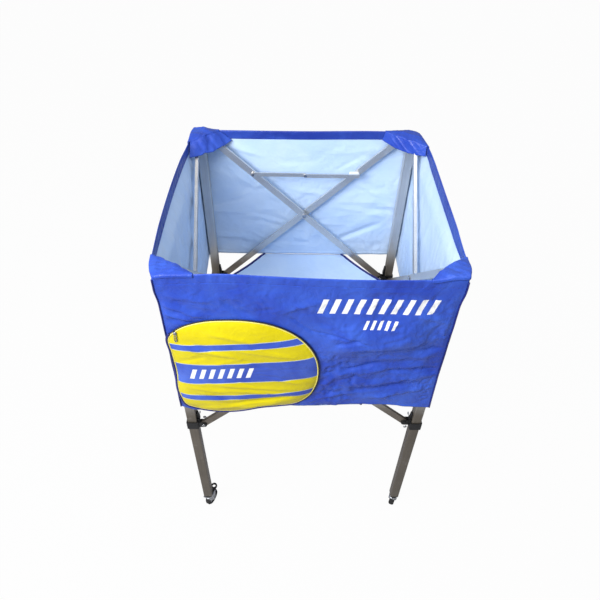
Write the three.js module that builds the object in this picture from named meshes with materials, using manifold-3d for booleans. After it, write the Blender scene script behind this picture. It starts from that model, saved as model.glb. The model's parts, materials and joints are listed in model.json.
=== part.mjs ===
import * as THREE from 'three';
import { mergeVertices } from 'three/addons/utils/BufferGeometryUtils.js';
import Module from 'manifold-3d';

const wasm = await Module();
wasm.setup();

// Folding ball cart: four square legs on swivel casters, a crossed pair of bars on each side that
// folds the legs together, and a fabric basket that hangs from the tops of the legs.
// Millimetres. +X is to the right, +Y to the rear, +Z up. The origin is on the floor, under the
// middle of the whole cart.

// Driving sizes of the stand
const legSpacing = 580;
const legSize = 25;
const legWall = 1.5;
const legCornerRadius = 2.5;
const topPivotHeight = 963;
const scissorRise = 500;
const legOvershoot = 15;
const fit = 0.3;

// Driving sizes of the crossed bars and their rivets
const barWidth = 18;
const barThickness = 8;
const barWall = 1.2;
const barLayerGap = 2;
const pinRadius = 3;
const pinHeadRadius = 5;
const pinHeadThickness = 1.2;
const rivetHeadRadius = 6.5;
const rivetHeadThickness = 2;
const pinSides = 8;
const roundSteps = 3;
const cornerSteps = 1;

// Driving sizes of the black brackets and sliding collars
const sleeveWall = 2.4;
const cheekThickness = 2.5;
const forkThroat = 3.8;
const bracketSkirt = 18;
const capRoof = 2.2;
const sliderHeight = 26;
const shelfThickness = 4;
const lugThickness = 2.5;
const lugRise = 8;
const latchWidth = 10;
const latchThickness = 5.4;
const latchHeight = 30;
const latchTipThickness = 3;
const latchPinRadius = 1.5;
const latchPivotRise = 4;

// Driving sizes of the folding stay across the rear
const stayPivotReach = 208.6;
const stayWidth = 11;
const stayThickness = 4;
const stayPinRadius = 2.5;
const stayHeadRadius = 4.5;
const stayHeadThickness = 1.5;
const fittingLength = 30;

// Driving sizes of the casters
const wheelRadius = 25;
const wheelWidth = 16;
const treadWidth = 9;
const rimRadius = 18.5;
const hubRadius = 8;
const rimInset = 3;
const wheelSides = 20;
const axleRadius = 3;
const axleEndRadius = 4.5;
const axleEndThickness = 1.5;
const casterTrail = 11;
const casterHeading = THREE.MathUtils.degToRad(-25);
const forkGap = 1.5;
const forkCheek = 2;
const crownClearance = 3;
const crownThickness = 2.5;
const crownFront = 13;
const crownRear = 11;
const forkEndRadius = 7;
const raceRadius = 13;
const raceHeight = 4.5;
const cupHeight = 6.5;
const flangeThickness = 2.7;
const stemRadius = 4;
const stemLength = 26;
const plugLength = 32;
const raceSides = 14;
const pedalWidth = 20;
const pedalLength = 25;
const pedalThickness = 3.5;
const pedalHole = 10;
const pedalPinRadius = 1.5;
const pedalBarrelRadius = 3.2;
const pedalShoe = 3.6;
const pedalLug = 2;

// Driving sizes of the basket
const clothThickness = 2;
const hemThickness = 1.2;
const hemHeight = 25;
const rimDrop = 5.5;
const basketDepth = 432;
const floorThickness = 2.5;
const floorCut = 180;
const floorCutPull = 18;
const floorCutSteps = 6;
const pocketReach = 85;
const pocketThickness = 2.5;
const pocketSkirtThickness = 1.5;
const pocketSkirt = 27;
const pocketCornerRadius = 3.5;
const ballPocketRadius = 162;
const ballPocketSide = 5.5;
const ballPocketFoot = 5;
const ballPocketBulge = 14;
const ballPocketEdge = 2;
const ballPocketRings = 4;
const ballPocketSides = 32;
const zipPullLength = 22;
const zipPullWidth = 5;
const zipPullThickness = 1.6;
const zipPullAngle = THREE.MathUtils.degToRad(142);
const zipPullOffset = 9;

// Finishes
const finish = (color, roughness, metalness) =>
  new THREE.MeshStandardMaterial({ color, roughness, metalness });
const aluminium = finish(0x8c857d, 0.35, 0.9);
const blackPlastic = finish(0x15161a, 0.5, 0);
const steel = finish(0xc9cacc, 0.25, 1);
const whiteNylon = finish(0xe9ecee, 0.5, 0);
const rubber = finish(0x17171a, 0.75, 0);
const blueCloth = finish(0x3c55c8, 0.55, 0);
const paleCloth = finish(0xa8c6ea, 0.7, 0);
const yellowCloth = finish(0xe8d828, 0.5, 0);

// Sizes worked out from the driving ones
const legHalf = legSpacing / 2;
const legRadius = legSize / 2;
const weld = fit / 1000;
const sleeveInner = legRadius + fit;
const sleeveOuter = sleeveInner + sleeveWall;
const barRadius = barWidth / 2;
const pivotInset = sleeveOuter + forkThroat + barRadius;
const pivotSpan = legSpacing - 2 * pivotInset;
const barLength = Math.hypot(pivotSpan, scissorRise);
const barAngle = Math.atan2(scissorRise, pivotSpan);
const layerOffset = (barThickness + barLayerGap) / 2;
const forkInner = barThickness / 2 + fit;
const forkOuter = forkInner + cheekThickness;
const sliderPivotHeight = topPivotHeight - scissorRise;
const crossHeight = topPivotHeight - scissorRise / 2;
const legTop = topPivotHeight + legOvershoot;
const capTop = legTop + fit + capRoof;
const wheelAxleHeight = wheelRadius * Math.cos(Math.PI / wheelSides);
const crownBottom = wheelAxleHeight + wheelRadius + crownClearance;
const crownTop = crownBottom + crownThickness;
const raceTop = crownTop + raceHeight;
const cupBottom = raceTop + fit;
const flangeBottom = cupBottom + cupHeight;
const legBottom = flangeBottom + flangeThickness + fit;
const wallInner = legHalf + sleeveOuter + fit;
const wallOuter = wallInner + clothThickness;
const hemOuter = wallOuter + hemThickness;
const skirtInner = hemOuter + fit;
const skirtOuter = skirtInner + pocketSkirtThickness;
const rimTop = capTop - rimDrop;
const floorBottom = rimTop - basketDepth;
const ballPocketX = ballPocketSide + ballPocketRadius - wallOuter;
const ballPocketHeight = floorBottom + ballPocketFoot + ballPocketRadius;
const pocketBottom = capTop + fit;

const axisX = new THREE.Vector3(1, 0, 0);
const axisY = new THREE.Vector3(0, 1, 0);
const axisZ = new THREE.Vector3(0, 0, 1);

// A closed solid from a three.js geometry, moved by the matrix. A mirroring matrix turns the
// triangles over, so that they still face out.
function solid(geometry, matrix = new THREE.Matrix4()) {
  const bare = new THREE.BufferGeometry();
  bare.setAttribute('position', geometry.getAttribute('position').clone());
  if (geometry.index) bare.setIndex(geometry.index.clone());
  bare.applyMatrix4(matrix);
  const welded = mergeVertices(bare, weld);
  const corners = Uint32Array.from(welded.index.array);
  if (matrix.determinant() < 0) {
    for (let i = 0; i < corners.length; i += 3) {
      [corners[i + 1], corners[i + 2]] = [corners[i + 2], corners[i + 1]];
    }
  }
  const vertProperties = Float32Array.from(welded.getAttribute('position').array);
  return new wasm.Manifold(new wasm.Mesh({ numProp: 3, vertProperties, triVerts: corners }));
}

const join = (pieces) => pieces.reduce((whole, piece) => whole.add(piece));

function part(name, manifold, material) {
  const found = manifold.getMesh();
  const geometry = new THREE.BufferGeometry();
  const points = [];
  for (let i = 0; i < found.vertProperties.length; i += found.numProp) {
    points.push(...found.vertProperties.slice(i, i + 3));
  }
  geometry.setAttribute('position', new THREE.Float32BufferAttribute(points, 3));
  geometry.setIndex([...found.triVerts]);
  geometry.computeVertexNormals();
  const mesh = new THREE.Mesh(geometry, material);
  mesh.name = name;
  return mesh;
}

function slab(x0, x1, y0, y1, z0, z1) {
  const box = new THREE.BoxGeometry(x1 - x0, y1 - y0, z1 - z0);
  return solid(box.translate((x0 + x1) / 2, (y0 + y1) / 2, (z0 + z1) / 2));
}

function rod(radius, start, end, sides = pinSides) {
  const along = new THREE.Vector3().subVectors(end, start);
  const turn = new THREE.Quaternion().setFromUnitVectors(axisY, along.clone().normalize());
  const middle = new THREE.Vector3().addVectors(start, end).multiplyScalar(1 / 2);
  const place = new THREE.Matrix4().compose(middle, turn, new THREE.Vector3(1, 1, 1));
  return solid(new THREE.CylinderGeometry(radius, radius, along.length(), sides), place);
}

// The round tool that cuts a hole for a rod, wide enough for the rod's corners to pass its flats
function bore(radius, start, end, sides = pinSides) {
  return rod((radius + fit) / Math.cos(Math.PI / sides), start, end, sides);
}

// A plate cut to an outline whose x runs along `along` and y along `up`, from one distance to
// another in the `across` direction. A quarter or half circle gets twice `curveSegments` sides.
function plate(outline, along, up, across, from, to, curveSegments = roundSteps) {
  const depth = to - from;
  const flat = new THREE.ExtrudeGeometry(outline, { depth, bevelEnabled: false, curveSegments });
  const place = new THREE.Matrix4().makeBasis(along, up, across);
  return solid(flat, place.setPosition(across.clone().multiplyScalar(from)));
}

// Shapes drawn in a plane

function stadium(from, to, radius) {
  const outline = new THREE.Shape();
  outline.moveTo(from, -radius);
  outline.lineTo(to, -radius);
  outline.absarc(to, 0, radius, -Math.PI / 2, Math.PI / 2, false);
  outline.lineTo(from, radius);
  outline.absarc(from, 0, radius, Math.PI / 2, (3 * Math.PI) / 2, false);
  return outline;
}

function squareOutline(half, radius) {
  const outline = new THREE.Shape();
  const straight = half - radius;
  outline.moveTo(half, -straight);
  [[1, 1], [-1, 1], [-1, -1], [1, -1]].forEach(([sx, sy], quarter) => {
    const start = (quarter * Math.PI) / 2;
    outline.absarc(sx * straight, sy * straight, radius, start, start + Math.PI / 2, false);
  });
  return outline;
}

// A square bar with rounded corners, standing between two heights
function squareBar(half, cornerRadius, bottom, top) {
  const outline = squareOutline(half, cornerRadius);
  return plate(outline, axisX, axisY, axisZ, bottom, top, cornerSteps);
}

function squareTube(outer, inner, cornerRadius, bottom, top) {
  const inside = squareBar(inner, cornerRadius / 2, bottom - fit, top + fit);
  return squareBar(outer, cornerRadius, bottom, top).subtract(inside);
}

// The two cheeks that hold one end of a bar, with the pin that the bar turns on. The bar lies
// `layer` away from the middle of the leg in the `across` direction.
function barFork(inboard, across, layer) {
  const outline = new THREE.Shape();
  const root = sleeveOuter - sleeveWall / 2;
  outline.moveTo(root, -barRadius);
  outline.lineTo(pivotInset, -barRadius);
  outline.absarc(pivotInset, 0, barRadius, -Math.PI / 2, Math.PI / 2, false);
  outline.lineTo(root, barRadius);
  const at = (distance) =>
    inboard.clone().multiplyScalar(pivotInset).addScaledVector(across, distance);
  const headStart = forkOuter - cheekThickness / 2;
  const headEnd = forkOuter + pinHeadThickness;
  return join([
    plate(outline, inboard, axisZ, across, layer - forkOuter, layer - forkInner),
    plate(outline, inboard, axisZ, across, layer + forkInner, layer + forkOuter),
    rod(pinRadius, at(layer - headStart), at(layer + headStart)),
    rod(pinHeadRadius, at(layer - headEnd), at(layer - headStart)),
    rod(pinHeadRadius, at(layer + headStart), at(layer + headEnd)),
  ]);
}

// Each corner: where its leg stands, seen from above
const corners = [
  { name: 'front_left', sx: -1, sy: -1, braked: true },
  { name: 'front_right', sx: 1, sy: -1, braked: true },
  { name: 'rear_left', sx: -1, sy: 1, braked: false },
  { name: 'rear_right', sx: 1, sy: 1, braked: false },
];

// Legs: square aluminium tube from the caster to the cap
function makeLeg(corner) {
  const inner = legRadius - legWall;
  const tube = squareTube(legRadius, inner, legCornerRadius, legBottom, legTop);
  return part(`leg_${corner.name}`, tube, aluminium);
}

// Top bracket: a cap on the leg with a fork towards each neighbouring leg
function makeTopBracket(corner) {
  const { sx, sy } = corner;
  const bottom = -bracketSkirt;
  const roofBottom = legOvershoot + fit;
  const roofTop = roofBottom + capRoof;
  const sleeve = squareTube(sleeveOuter, sleeveInner, legCornerRadius, bottom, roofTop);
  const roofHalf = sleeveInner + fit;
  const roof = slab(-roofHalf, roofHalf, -roofHalf, roofHalf, roofBottom, roofTop);
  const layer = sx * sy * layerOffset;
  const forkX = barFork(axisX.clone().multiplyScalar(-sx), axisY, layer);
  const forkY = barFork(axisY.clone().multiplyScalar(-sy), axisX, layer);
  const bracket = part(`top_bracket_${corner.name}`, join([sleeve, roof, forkX, forkY]), blackPlastic);
  bracket.position.z = topPivotHeight;
  return bracket;
}

// Slider: a collar that runs on the leg, with a fork for the lower end of each bar and two lugs
// for its lock lever
function makeSlider(corner) {
  const { sx, sy } = corner;
  const half = sliderHeight / 2;
  const collar = squareTube(sleeveOuter, sleeveInner, legCornerRadius, -half, half);
  const layer = -sx * sy * layerOffset;
  const inboard = axisX.clone().multiplyScalar(-sx);
  const forkX = barFork(inboard, axisY, layer);
  const forkY = barFork(axisY.clone().multiplyScalar(-sy), axisX, layer);
  const lugInner = latchWidth / 2 + fit;
  const lugOuter = lugInner + lugThickness;
  const reach = sleeveInner + fit + latchThickness;
  const shelf = (from, to, bottom, top) => {
    const outline = new THREE.Shape();
    outline.moveTo(sleeveInner + fit, bottom);
    outline.lineTo(reach, bottom);
    outline.lineTo(reach, top);
    outline.lineTo(sleeveInner + fit, top);
    return plate(outline, inboard, axisZ, axisY, from, to);
  };
  const pin = (y) =>
    inboard.clone().multiplyScalar(latchAxis()).setY(y).setZ(half + latchPivotRise);
  return part(
    `slider_${corner.name}`,
    join([
      collar,
      forkX,
      forkY,
      shelf(-lugOuter, lugOuter, half - shelfThickness, half),
      shelf(-lugOuter, -lugInner, half - fit, half + lugRise),
      shelf(lugInner, lugOuter, half - fit, half + lugRise),
      rod(latchPinRadius, pin(-lugOuter + fit), pin(lugOuter - fit)),
    ]),
    blackPlastic,
  );
}

// The lock lever's pin is in the middle of the lever's thickness
const latchAxis = () => sleeveInner + fit + latchThickness / 2;

// Lock lever: stands against the leg above its slider and turns on the slider's lugs
function makeLatch(corner) {
  const inboard = axisX.clone().multiplyScalar(-corner.sx);
  const half = sliderHeight / 2;
  const near = sleeveInner + fit;
  const outline = new THREE.Shape();
  outline.moveTo(near, half + fit);
  outline.lineTo(near + latchThickness, half + fit);
  outline.lineTo(near + latchThickness, half + lugRise);
  outline.lineTo(near + latchTipThickness, half + latchHeight);
  outline.lineTo(near, half + latchHeight);
  const pivot = inboard.clone().multiplyScalar(latchAxis()).setZ(half + latchPivotRise);
  const hole = bore(latchPinRadius, pivot.clone().setY(-latchWidth), pivot.clone().setY(latchWidth));
  const lever = plate(outline, inboard, axisZ, axisY, -latchWidth / 2, latchWidth / 2);
  return part(`latch_${corner.name}`, lever.subtract(hole), blackPlastic);
}

// Crossed bars. Bar a runs down from the first leg's bracket to the second leg's slider and lies
// in the inner layer, bar b runs up from the first leg's slider and lies in the outer layer.
const sides = [
  { name: 'front', x: 0, y: -legHalf, turn: 0, inward: 1 },
  { name: 'left', x: -legHalf, y: 0, turn: Math.PI / 2, inward: -1 },
  { name: 'right', x: legHalf, y: 0, turn: Math.PI / 2, inward: 1 },
  { name: 'rear', x: 0, y: legHalf, turn: 0, inward: -1, stayed: true },
];

function makeBar(name, extraHole) {
  const half = barLength / 2;
  const thick = barThickness / 2;
  const body = plate(stadium(-half, half, barRadius), axisX, axisZ, axisY, -thick, thick);
  const hollowEnd = half + barWidth;
  const hollowWide = barRadius - barWall;
  const hollowThick = thick - barWall;
  const hollow = slab(-hollowEnd, hollowEnd, -hollowThick, hollowThick, -hollowWide, hollowWide);
  const hole = (x, radius) =>
    bore(radius, new THREE.Vector3(x, -barWidth, 0), new THREE.Vector3(x, barWidth, 0));
  const pivots = [-half, 0, half].map((x) => hole(x, pinRadius));
  const extra = extraHole === undefined ? [] : [hole(extraHole, stayPinRadius)];
  const cuts = join([hollow, ...pivots, ...extra]);
  return part(name, body.subtract(cuts), aluminium);
}

// A rivet along Y with a head at each end
function rivet(radius, headRadius, headThickness, from, to) {
  const at = (y) => new THREE.Vector3(0, y, 0);
  const sink = headThickness / 2;
  return join([
    rod(radius, at(from - sink), at(to + sink)),
    rod(headRadius, at(from - headThickness), at(from)),
    rod(headRadius, at(to), at(to + headThickness)),
  ]);
}

function makeScissor(side) {
  const group = new THREE.Group();
  group.position.set(side.x, side.y, crossHeight);
  group.rotation.z = side.turn;
  const barA = makeBar(`bar_${side.name}_a`, side.stayed ? -stayPivotReach : undefined);
  barA.position.y = side.inward * layerOffset;
  barA.rotation.y = barAngle;
  const barB = makeBar(`bar_${side.name}_b`);
  barB.position.y = -side.inward * layerOffset;
  barB.rotation.y = -barAngle;
  const grip = layerOffset + barThickness / 2 + fit;
  const centre = rivet(pinRadius, rivetHeadRadius, rivetHeadThickness, -grip, grip);
  group.add(barA, barB, part(`centre_rivet_${side.name}`, centre, steel));
  return group;
}

// Folding stay across the rear scissor, in two halves that hinge in the middle
function makeStay() {
  const group = new THREE.Group();
  const rise = stayPivotReach * Math.sin(barAngle);
  const reach = stayPivotReach * Math.cos(barAngle);
  group.position.set(0, legHalf, crossHeight + rise);
  const radius = stayWidth / 2;
  const face = -(layerOffset + barThickness / 2 + fit);
  const innerFace = face - stayThickness;
  const secondFace = innerFace - fit;
  const lastFace = secondFace - stayThickness;
  const hole = (x) =>
    bore(stayPinRadius, new THREE.Vector3(x, lastFace - fit, 0), new THREE.Vector3(x, fit, 0));
  const half = (name, from, to, front, back, holes) => {
    const body = plate(stadium(from, to, radius), axisX, axisZ, axisY, back, front);
    return part(name, body.subtract(join(holes)), aluminium);
  };
  const left = half('stay_left', -reach, 0, face, innerFace, [hole(-reach), hole(0)]);
  const right = half('stay_right', 0, reach, secondFace, lastFace, [hole(0)]);
  const hinge = rivet(stayPinRadius, stayHeadRadius, stayHeadThickness, lastFace - fit, face + fit);
  const endBack = fit - barLayerGap / 2;
  const end = rivet(stayPinRadius, stayHeadRadius, stayHeadThickness, innerFace - fit, endBack);
  const endRivet = part('stay_rivet_left', end, steel);
  endRivet.position.x = -reach;
  const block = plate(
    stadium(reach - fittingLength + stayWidth, reach, radius),
    axisX,
    axisZ,
    axisY,
    secondFace + fit,
    barLayerGap / 2 - fit,
  );
  group.add(
    left,
    right,
    part('stay_hinge_rivet', hinge, steel),
    endRivet,
    part('stay_end_fitting', block, whiteNylon),
  );
  return group;
}

// Caster: a plug in the leg, a swivelling fork with its axle, a wheel, and on the front casters a
// foot brake
function makeSocket(corner) {
  const plugHalf = legRadius - legWall - fit;
  const flangeTop = flangeBottom + flangeThickness;
  const at = (z) => new THREE.Vector3(0, 0, z);
  const flange = squareBar(legRadius, legCornerRadius, flangeBottom, flangeTop);
  const plug = squareBar(plugHalf, legCornerRadius / 2, flangeTop - fit, flangeTop + plugLength);
  const cup = rod(raceRadius, at(cupBottom), at(flangeBottom + fit), raceSides);
  const hole = bore(stemRadius, at(cupBottom - fit), at(raceTop + stemLength + fit), raceSides);
  return part(`caster_socket_${corner.name}`, join([flange, plug, cup]).subtract(hole), steel);
}

function makeFork(corner) {
  const cheekInner = wheelWidth / 2 + forkGap;
  const cheekOuter = cheekInner + forkCheek;
  const outline = new THREE.Shape();
  outline.moveTo(-crownFront, crownTop);
  outline.lineTo(-crownFront, crownBottom);
  outline.lineTo(casterTrail - forkEndRadius, wheelAxleHeight);
  outline.absarc(casterTrail, wheelAxleHeight, forkEndRadius, Math.PI, 2 * Math.PI, false);
  outline.lineTo(casterTrail + forkEndRadius / 2, crownBottom - crownThickness);
  outline.lineTo(crownRear, crownTop);
  const at = (z) => new THREE.Vector3(0, 0, z);
  const axle = (x) => new THREE.Vector3(x, casterTrail, wheelAxleHeight);
  const axleEnd = cheekOuter + axleEndThickness;
  const pieces = [
    slab(-cheekOuter, cheekOuter, -crownFront, crownRear, crownBottom, crownTop),
    plate(outline, axisY, axisZ, axisX, -cheekOuter, -cheekInner),
    plate(outline, axisY, axisZ, axisX, cheekInner, cheekOuter),
    rod(raceRadius, at(crownTop - fit), at(raceTop), raceSides),
    rod(stemRadius, at(crownTop), at(raceTop + stemLength - fit), raceSides),
    rod(axleRadius, axle(-cheekOuter), axle(cheekOuter)),
    rod(axleEndRadius, axle(-axleEnd), axle(-cheekInner - fit)),
    rod(axleEndRadius, axle(cheekInner + fit), axle(axleEnd)),
  ];
  if (corner.braked) {
    const lugInner = pedalWidth / 2 + fit;
    const lugOuter = lugInner + pedalLug;
    const top = pedalAxis().z + pedalPinRadius + pedalLug;
    const y = pedalAxis().y;
    const lug = (from, to) =>
      slab(from, to, crownRear - pedalLug, y + pedalPinRadius + pedalLug, crownBottom, top);
    pieces.push(
      lug(-lugOuter, -lugInner),
      lug(lugInner, lugOuter),
      rod(pedalPinRadius, pedalAxis().setX(-lugOuter + fit), pedalAxis().setX(lugOuter - fit)),
    );
  }
  return part(`caster_fork_${corner.name}`, join(pieces), steel);
}

// The foot brake turns on a pin behind the crown
const pedalAxis = () =>
  new THREE.Vector3(0, raceRadius + fit + pedalBarrelRadius, crownTop + pedalThickness / 2);

function makePedal(corner) {
  const { y, z } = pedalAxis();
  const half = pedalWidth / 2;
  const thick = pedalThickness / 2;
  const outline = new THREE.Shape();
  outline.moveTo(-half, y - thick);
  outline.lineTo(half, y - thick);
  outline.lineTo(half, y + pedalLength - half);
  outline.absarc(0, y + pedalLength - half, half, 0, Math.PI, false);
  const body = plate(outline, axisX, axisY, axisZ, z - thick, z + thick);
  const shoeBottom = wheelAxleHeight + wheelRadius + 2 * fit;
  const shoe = slab(-wheelWidth / 2, wheelWidth / 2, y - pedalShoe / 2, y + pedalShoe / 2, shoeBottom, z);
  const barrel = rod(pedalBarrelRadius, pedalAxis().setX(-half), pedalAxis().setX(half));
  const centre = (height) => new THREE.Vector3(0, y + pedalLength - half, height);
  const cuts = join([
    rod(pedalHole / 2, centre(z - pedalThickness), centre(z + pedalThickness)),
    bore(pedalPinRadius, pedalAxis().setX(-pedalWidth), pedalAxis().setX(pedalWidth)),
  ]);
  return part(`brake_pedal_${corner.name}`, join([body, barrel, shoe]).subtract(cuts), blackPlastic);
}

// The wheel's profile, from bore to tread, turned about its axle
function makeWheel(corner) {
  const half = wheelWidth / 2;
  const boreRadius = (axleRadius + fit) / Math.cos(Math.PI / wheelSides);
  const profile = [
    [boreRadius, -half],
    [hubRadius, -half],
    [hubRadius, -half + rimInset],
    [rimRadius, -half + rimInset],
    [rimRadius, -half],
    [wheelRadius - rimInset, -half],
    [wheelRadius, -treadWidth / 2],
  ];
  const mirrored = profile.map(([radius, along]) => [radius, -along]).reverse();
  const points = [...profile, ...mirrored, profile[0]].map((p) => new THREE.Vector2(...p));
  const lathe = new THREE.LatheGeometry(points, wheelSides);
  const turned = new THREE.Matrix4().makeRotationY(Math.PI / wheelSides);
  const axleAlongX = new THREE.Matrix4().makeRotationZ(-Math.PI / 2);
  const mesh = part(`wheel_${corner.name}`, solid(lathe, axleAlongX.multiply(turned)), rubber);
  mesh.position.set(0, casterTrail, wheelAxleHeight);
  return mesh;
}

function makeCaster(corner) {
  const group = new THREE.Group();
  group.rotation.z = casterHeading;
  group.add(makeFork(corner), makeWheel(corner));
  if (corner.braked) group.add(makePedal(corner));
  return group;
}

// Corner pocket: a triangle of cloth that sits on the cap, with a skirt outside the rim
function makeCornerPocket(corner) {
  const start = skirtOuter - pocketReach;
  const round = skirtOuter - pocketCornerRadius;
  const roof = new THREE.Shape();
  roof.moveTo(start, skirtOuter);
  roof.lineTo(skirtOuter, start);
  roof.lineTo(skirtOuter, round);
  roof.absarc(round, round, pocketCornerRadius, 0, Math.PI / 2, false);
  const skirt = new THREE.Shape();
  skirt.moveTo(start, skirtInner);
  skirt.lineTo(round, skirtInner);
  skirt.absarc(round, round, pocketCornerRadius - pocketSkirtThickness, Math.PI / 2, 0, true);
  skirt.lineTo(skirtInner, start);
  skirt.lineTo(skirtOuter, start);
  skirt.lineTo(skirtOuter, round);
  skirt.absarc(round, round, pocketCornerRadius, 0, Math.PI / 2, false);
  skirt.lineTo(start, skirtOuter);
  const toX = axisX.clone().multiplyScalar(corner.sx);
  const toY = axisY.clone().multiplyScalar(corner.sy);
  const pocketTop = pocketBottom + pocketThickness;
  const cloth = join([
    plate(roof, toX, toY, axisZ, pocketBottom, pocketTop),
    plate(skirt, toX, toY, axisZ, pocketBottom - pocketSkirt, pocketTop - fit),
  ]);
  return part(`corner_pocket_${corner.name}`, cloth, blueCloth);
}

// Walls of the basket, each with a thicker hem round the top
function makeWalls() {
  const hemBottom = rimTop - hemHeight;
  const longHalf = wallOuter;
  const shortHalf = wallInner - fit;
  const wall = (name, half, turn) => {
    const cloth = slab(-half, half, wallInner, wallOuter, floorBottom, rimTop);
    const hem = slab(-half, half, wallOuter - fit, hemOuter, hemBottom, rimTop);
    const mesh = part(`wall_${name}`, join([cloth, hem]), blueCloth);
    mesh.rotation.z = turn;
    return mesh;
  };
  return [
    wall('rear', longHalf, 0),
    wall('left', shortHalf, Math.PI / 2),
    wall('front', longHalf, Math.PI),
    wall('right', shortHalf, -Math.PI / 2),
  ];
}

// Floor of the basket: two halves that fold up in the middle, each with two corners cut away
// where the legs and bars pass
function makeFloorHalf(name, sy) {
  const edge = wallInner - fit;
  const straight = edge - floorCut;
  const pull = edge - floorCut / 2 - floorCutPull;
  const outline = new THREE.Shape();
  outline.moveTo(-edge, fit / 2);
  outline.lineTo(edge, fit / 2);
  outline.lineTo(edge, straight);
  outline.quadraticCurveTo(pull, pull, straight, edge);
  outline.lineTo(-straight, edge);
  outline.quadraticCurveTo(-pull, pull, -edge, straight);
  const toY = axisY.clone().multiplyScalar(sy);
  const floorTop = floorBottom + floorThickness;
  const cloth = plate(outline, axisX, toY, axisZ, floorBottom, floorTop, floorCutSteps);
  return part(`floor_${name}`, cloth, paleCloth);
}

// Round zipped pocket on the front wall, a shallow dome
function makeBallPocket() {
  const points = [new THREE.Vector2(0, 0), new THREE.Vector2(ballPocketRadius, 0)];
  for (let ring = 0; ring < ballPocketRings; ring += 1) {
    const angle = (ring / ballPocketRings) * (Math.PI / 2);
    const radius = ballPocketRadius * Math.cos(angle);
    const height = ballPocketEdge + ballPocketBulge * Math.sin(angle);
    points.push(new THREE.Vector2(radius, height));
  }
  points.push(new THREE.Vector2(0, ballPocketEdge + ballPocketBulge));
  const dome = new THREE.LatheGeometry(points, ballPocketSides);
  const facingFront = new THREE.Matrix4().makeRotationX(Math.PI);
  const mesh = part('ball_pocket', solid(dome, facingFront), yellowCloth);
  mesh.position.set(ballPocketX, -wallOuter - fit, ballPocketHeight);
  return mesh;
}

function makeZipPull() {
  const half = zipPullWidth / 2;
  const tab = plate(
    stadium(half, zipPullLength - half, half),
    axisZ.clone().negate(),
    axisX,
    axisY,
    -zipPullThickness,
    0,
  );
  const mesh = part('zip_pull', tab, steel);
  const reach = ballPocketRadius + zipPullOffset;
  mesh.rotation.y = Math.PI - zipPullAngle;
  mesh.position.set(
    ballPocketX + reach * Math.cos(zipPullAngle),
    -wallOuter - fit,
    ballPocketHeight + reach * Math.sin(zipPullAngle),
  );
  return mesh;
}

// Assembly
const cart = new THREE.Group();

for (const corner of corners) {
  const stand = new THREE.Group();
  stand.position.set(corner.sx * legHalf, corner.sy * legHalf, 0);
  const slider = new THREE.Group();
  slider.position.z = sliderPivotHeight;
  slider.add(makeSlider(corner), makeLatch(corner));
  stand.add(makeLeg(corner), makeTopBracket(corner), slider, makeSocket(corner), makeCaster(corner));
  cart.add(stand, makeCornerPocket(corner));
}

for (const side of sides) cart.add(makeScissor(side));

cart.add(makeStay(), ...makeWalls());
cart.add(makeFloorHalf('front', -1), makeFloorHalf('rear', 1));
cart.add(makeBallPocket(), makeZipPull());

// The wheels and the round pocket reach past the basket, so the cart is moved to have its middle
// over the origin
const middle = new THREE.Box3().setFromObject(cart, true).getCenter(new THREE.Vector3());
cart.position.set(-middle.x, -middle.y, 0);

export default cart;
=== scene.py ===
"""Folding ball cart: a square cloth basket in a scissor frame of four tube legs on casters.

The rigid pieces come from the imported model. This file makes the cloth basket, its corner
pockets, the round zipped pocket and the small trim, and gives every piece its finish.
Lengths are in metres, +Z is up and the front wall faces -Y. Places on the basket are counted
from its own centre line, so that the same numbers serve opposite sides.
"""

from __future__ import annotations

import json
import logging
import math
from dataclasses import dataclass
from enum import Enum

import bpy
import numpy as np
from mathutils import Matrix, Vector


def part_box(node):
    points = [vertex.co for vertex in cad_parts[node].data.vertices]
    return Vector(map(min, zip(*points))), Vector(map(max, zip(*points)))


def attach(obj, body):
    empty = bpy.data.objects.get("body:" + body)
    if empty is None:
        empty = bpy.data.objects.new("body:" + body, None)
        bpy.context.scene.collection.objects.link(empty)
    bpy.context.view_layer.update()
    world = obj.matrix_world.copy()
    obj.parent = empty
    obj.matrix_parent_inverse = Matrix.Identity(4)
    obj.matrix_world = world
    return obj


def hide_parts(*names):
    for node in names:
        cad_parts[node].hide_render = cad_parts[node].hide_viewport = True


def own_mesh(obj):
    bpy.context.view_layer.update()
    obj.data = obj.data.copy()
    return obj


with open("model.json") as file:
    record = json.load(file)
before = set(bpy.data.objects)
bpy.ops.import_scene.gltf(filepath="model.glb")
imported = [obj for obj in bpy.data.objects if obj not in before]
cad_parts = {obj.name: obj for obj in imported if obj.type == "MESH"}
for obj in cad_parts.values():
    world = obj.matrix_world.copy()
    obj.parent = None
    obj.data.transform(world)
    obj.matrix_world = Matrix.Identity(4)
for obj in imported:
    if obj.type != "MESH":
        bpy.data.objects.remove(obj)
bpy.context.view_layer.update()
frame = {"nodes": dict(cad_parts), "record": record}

logging.basicConfig(level=logging.INFO, format="%(message)s")
LOG = logging.getLogger("ball_cart")

Array = np.ndarray
Point = tuple[float, float, float]
Colour = tuple[float, float, float, float]
Knots = tuple[tuple[float, float], ...]
Faces = list[tuple[int, ...]]

WHITE: Colour = (1.0, 1.0, 1.0, 1.0)
UP = np.array((0.0, 0.0, 1.0))
TO_FRONT = np.array((0.0, -1.0, 0.0))
FULL_TURN = 2.0 * math.pi


# Sides and corners of the basket


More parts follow.
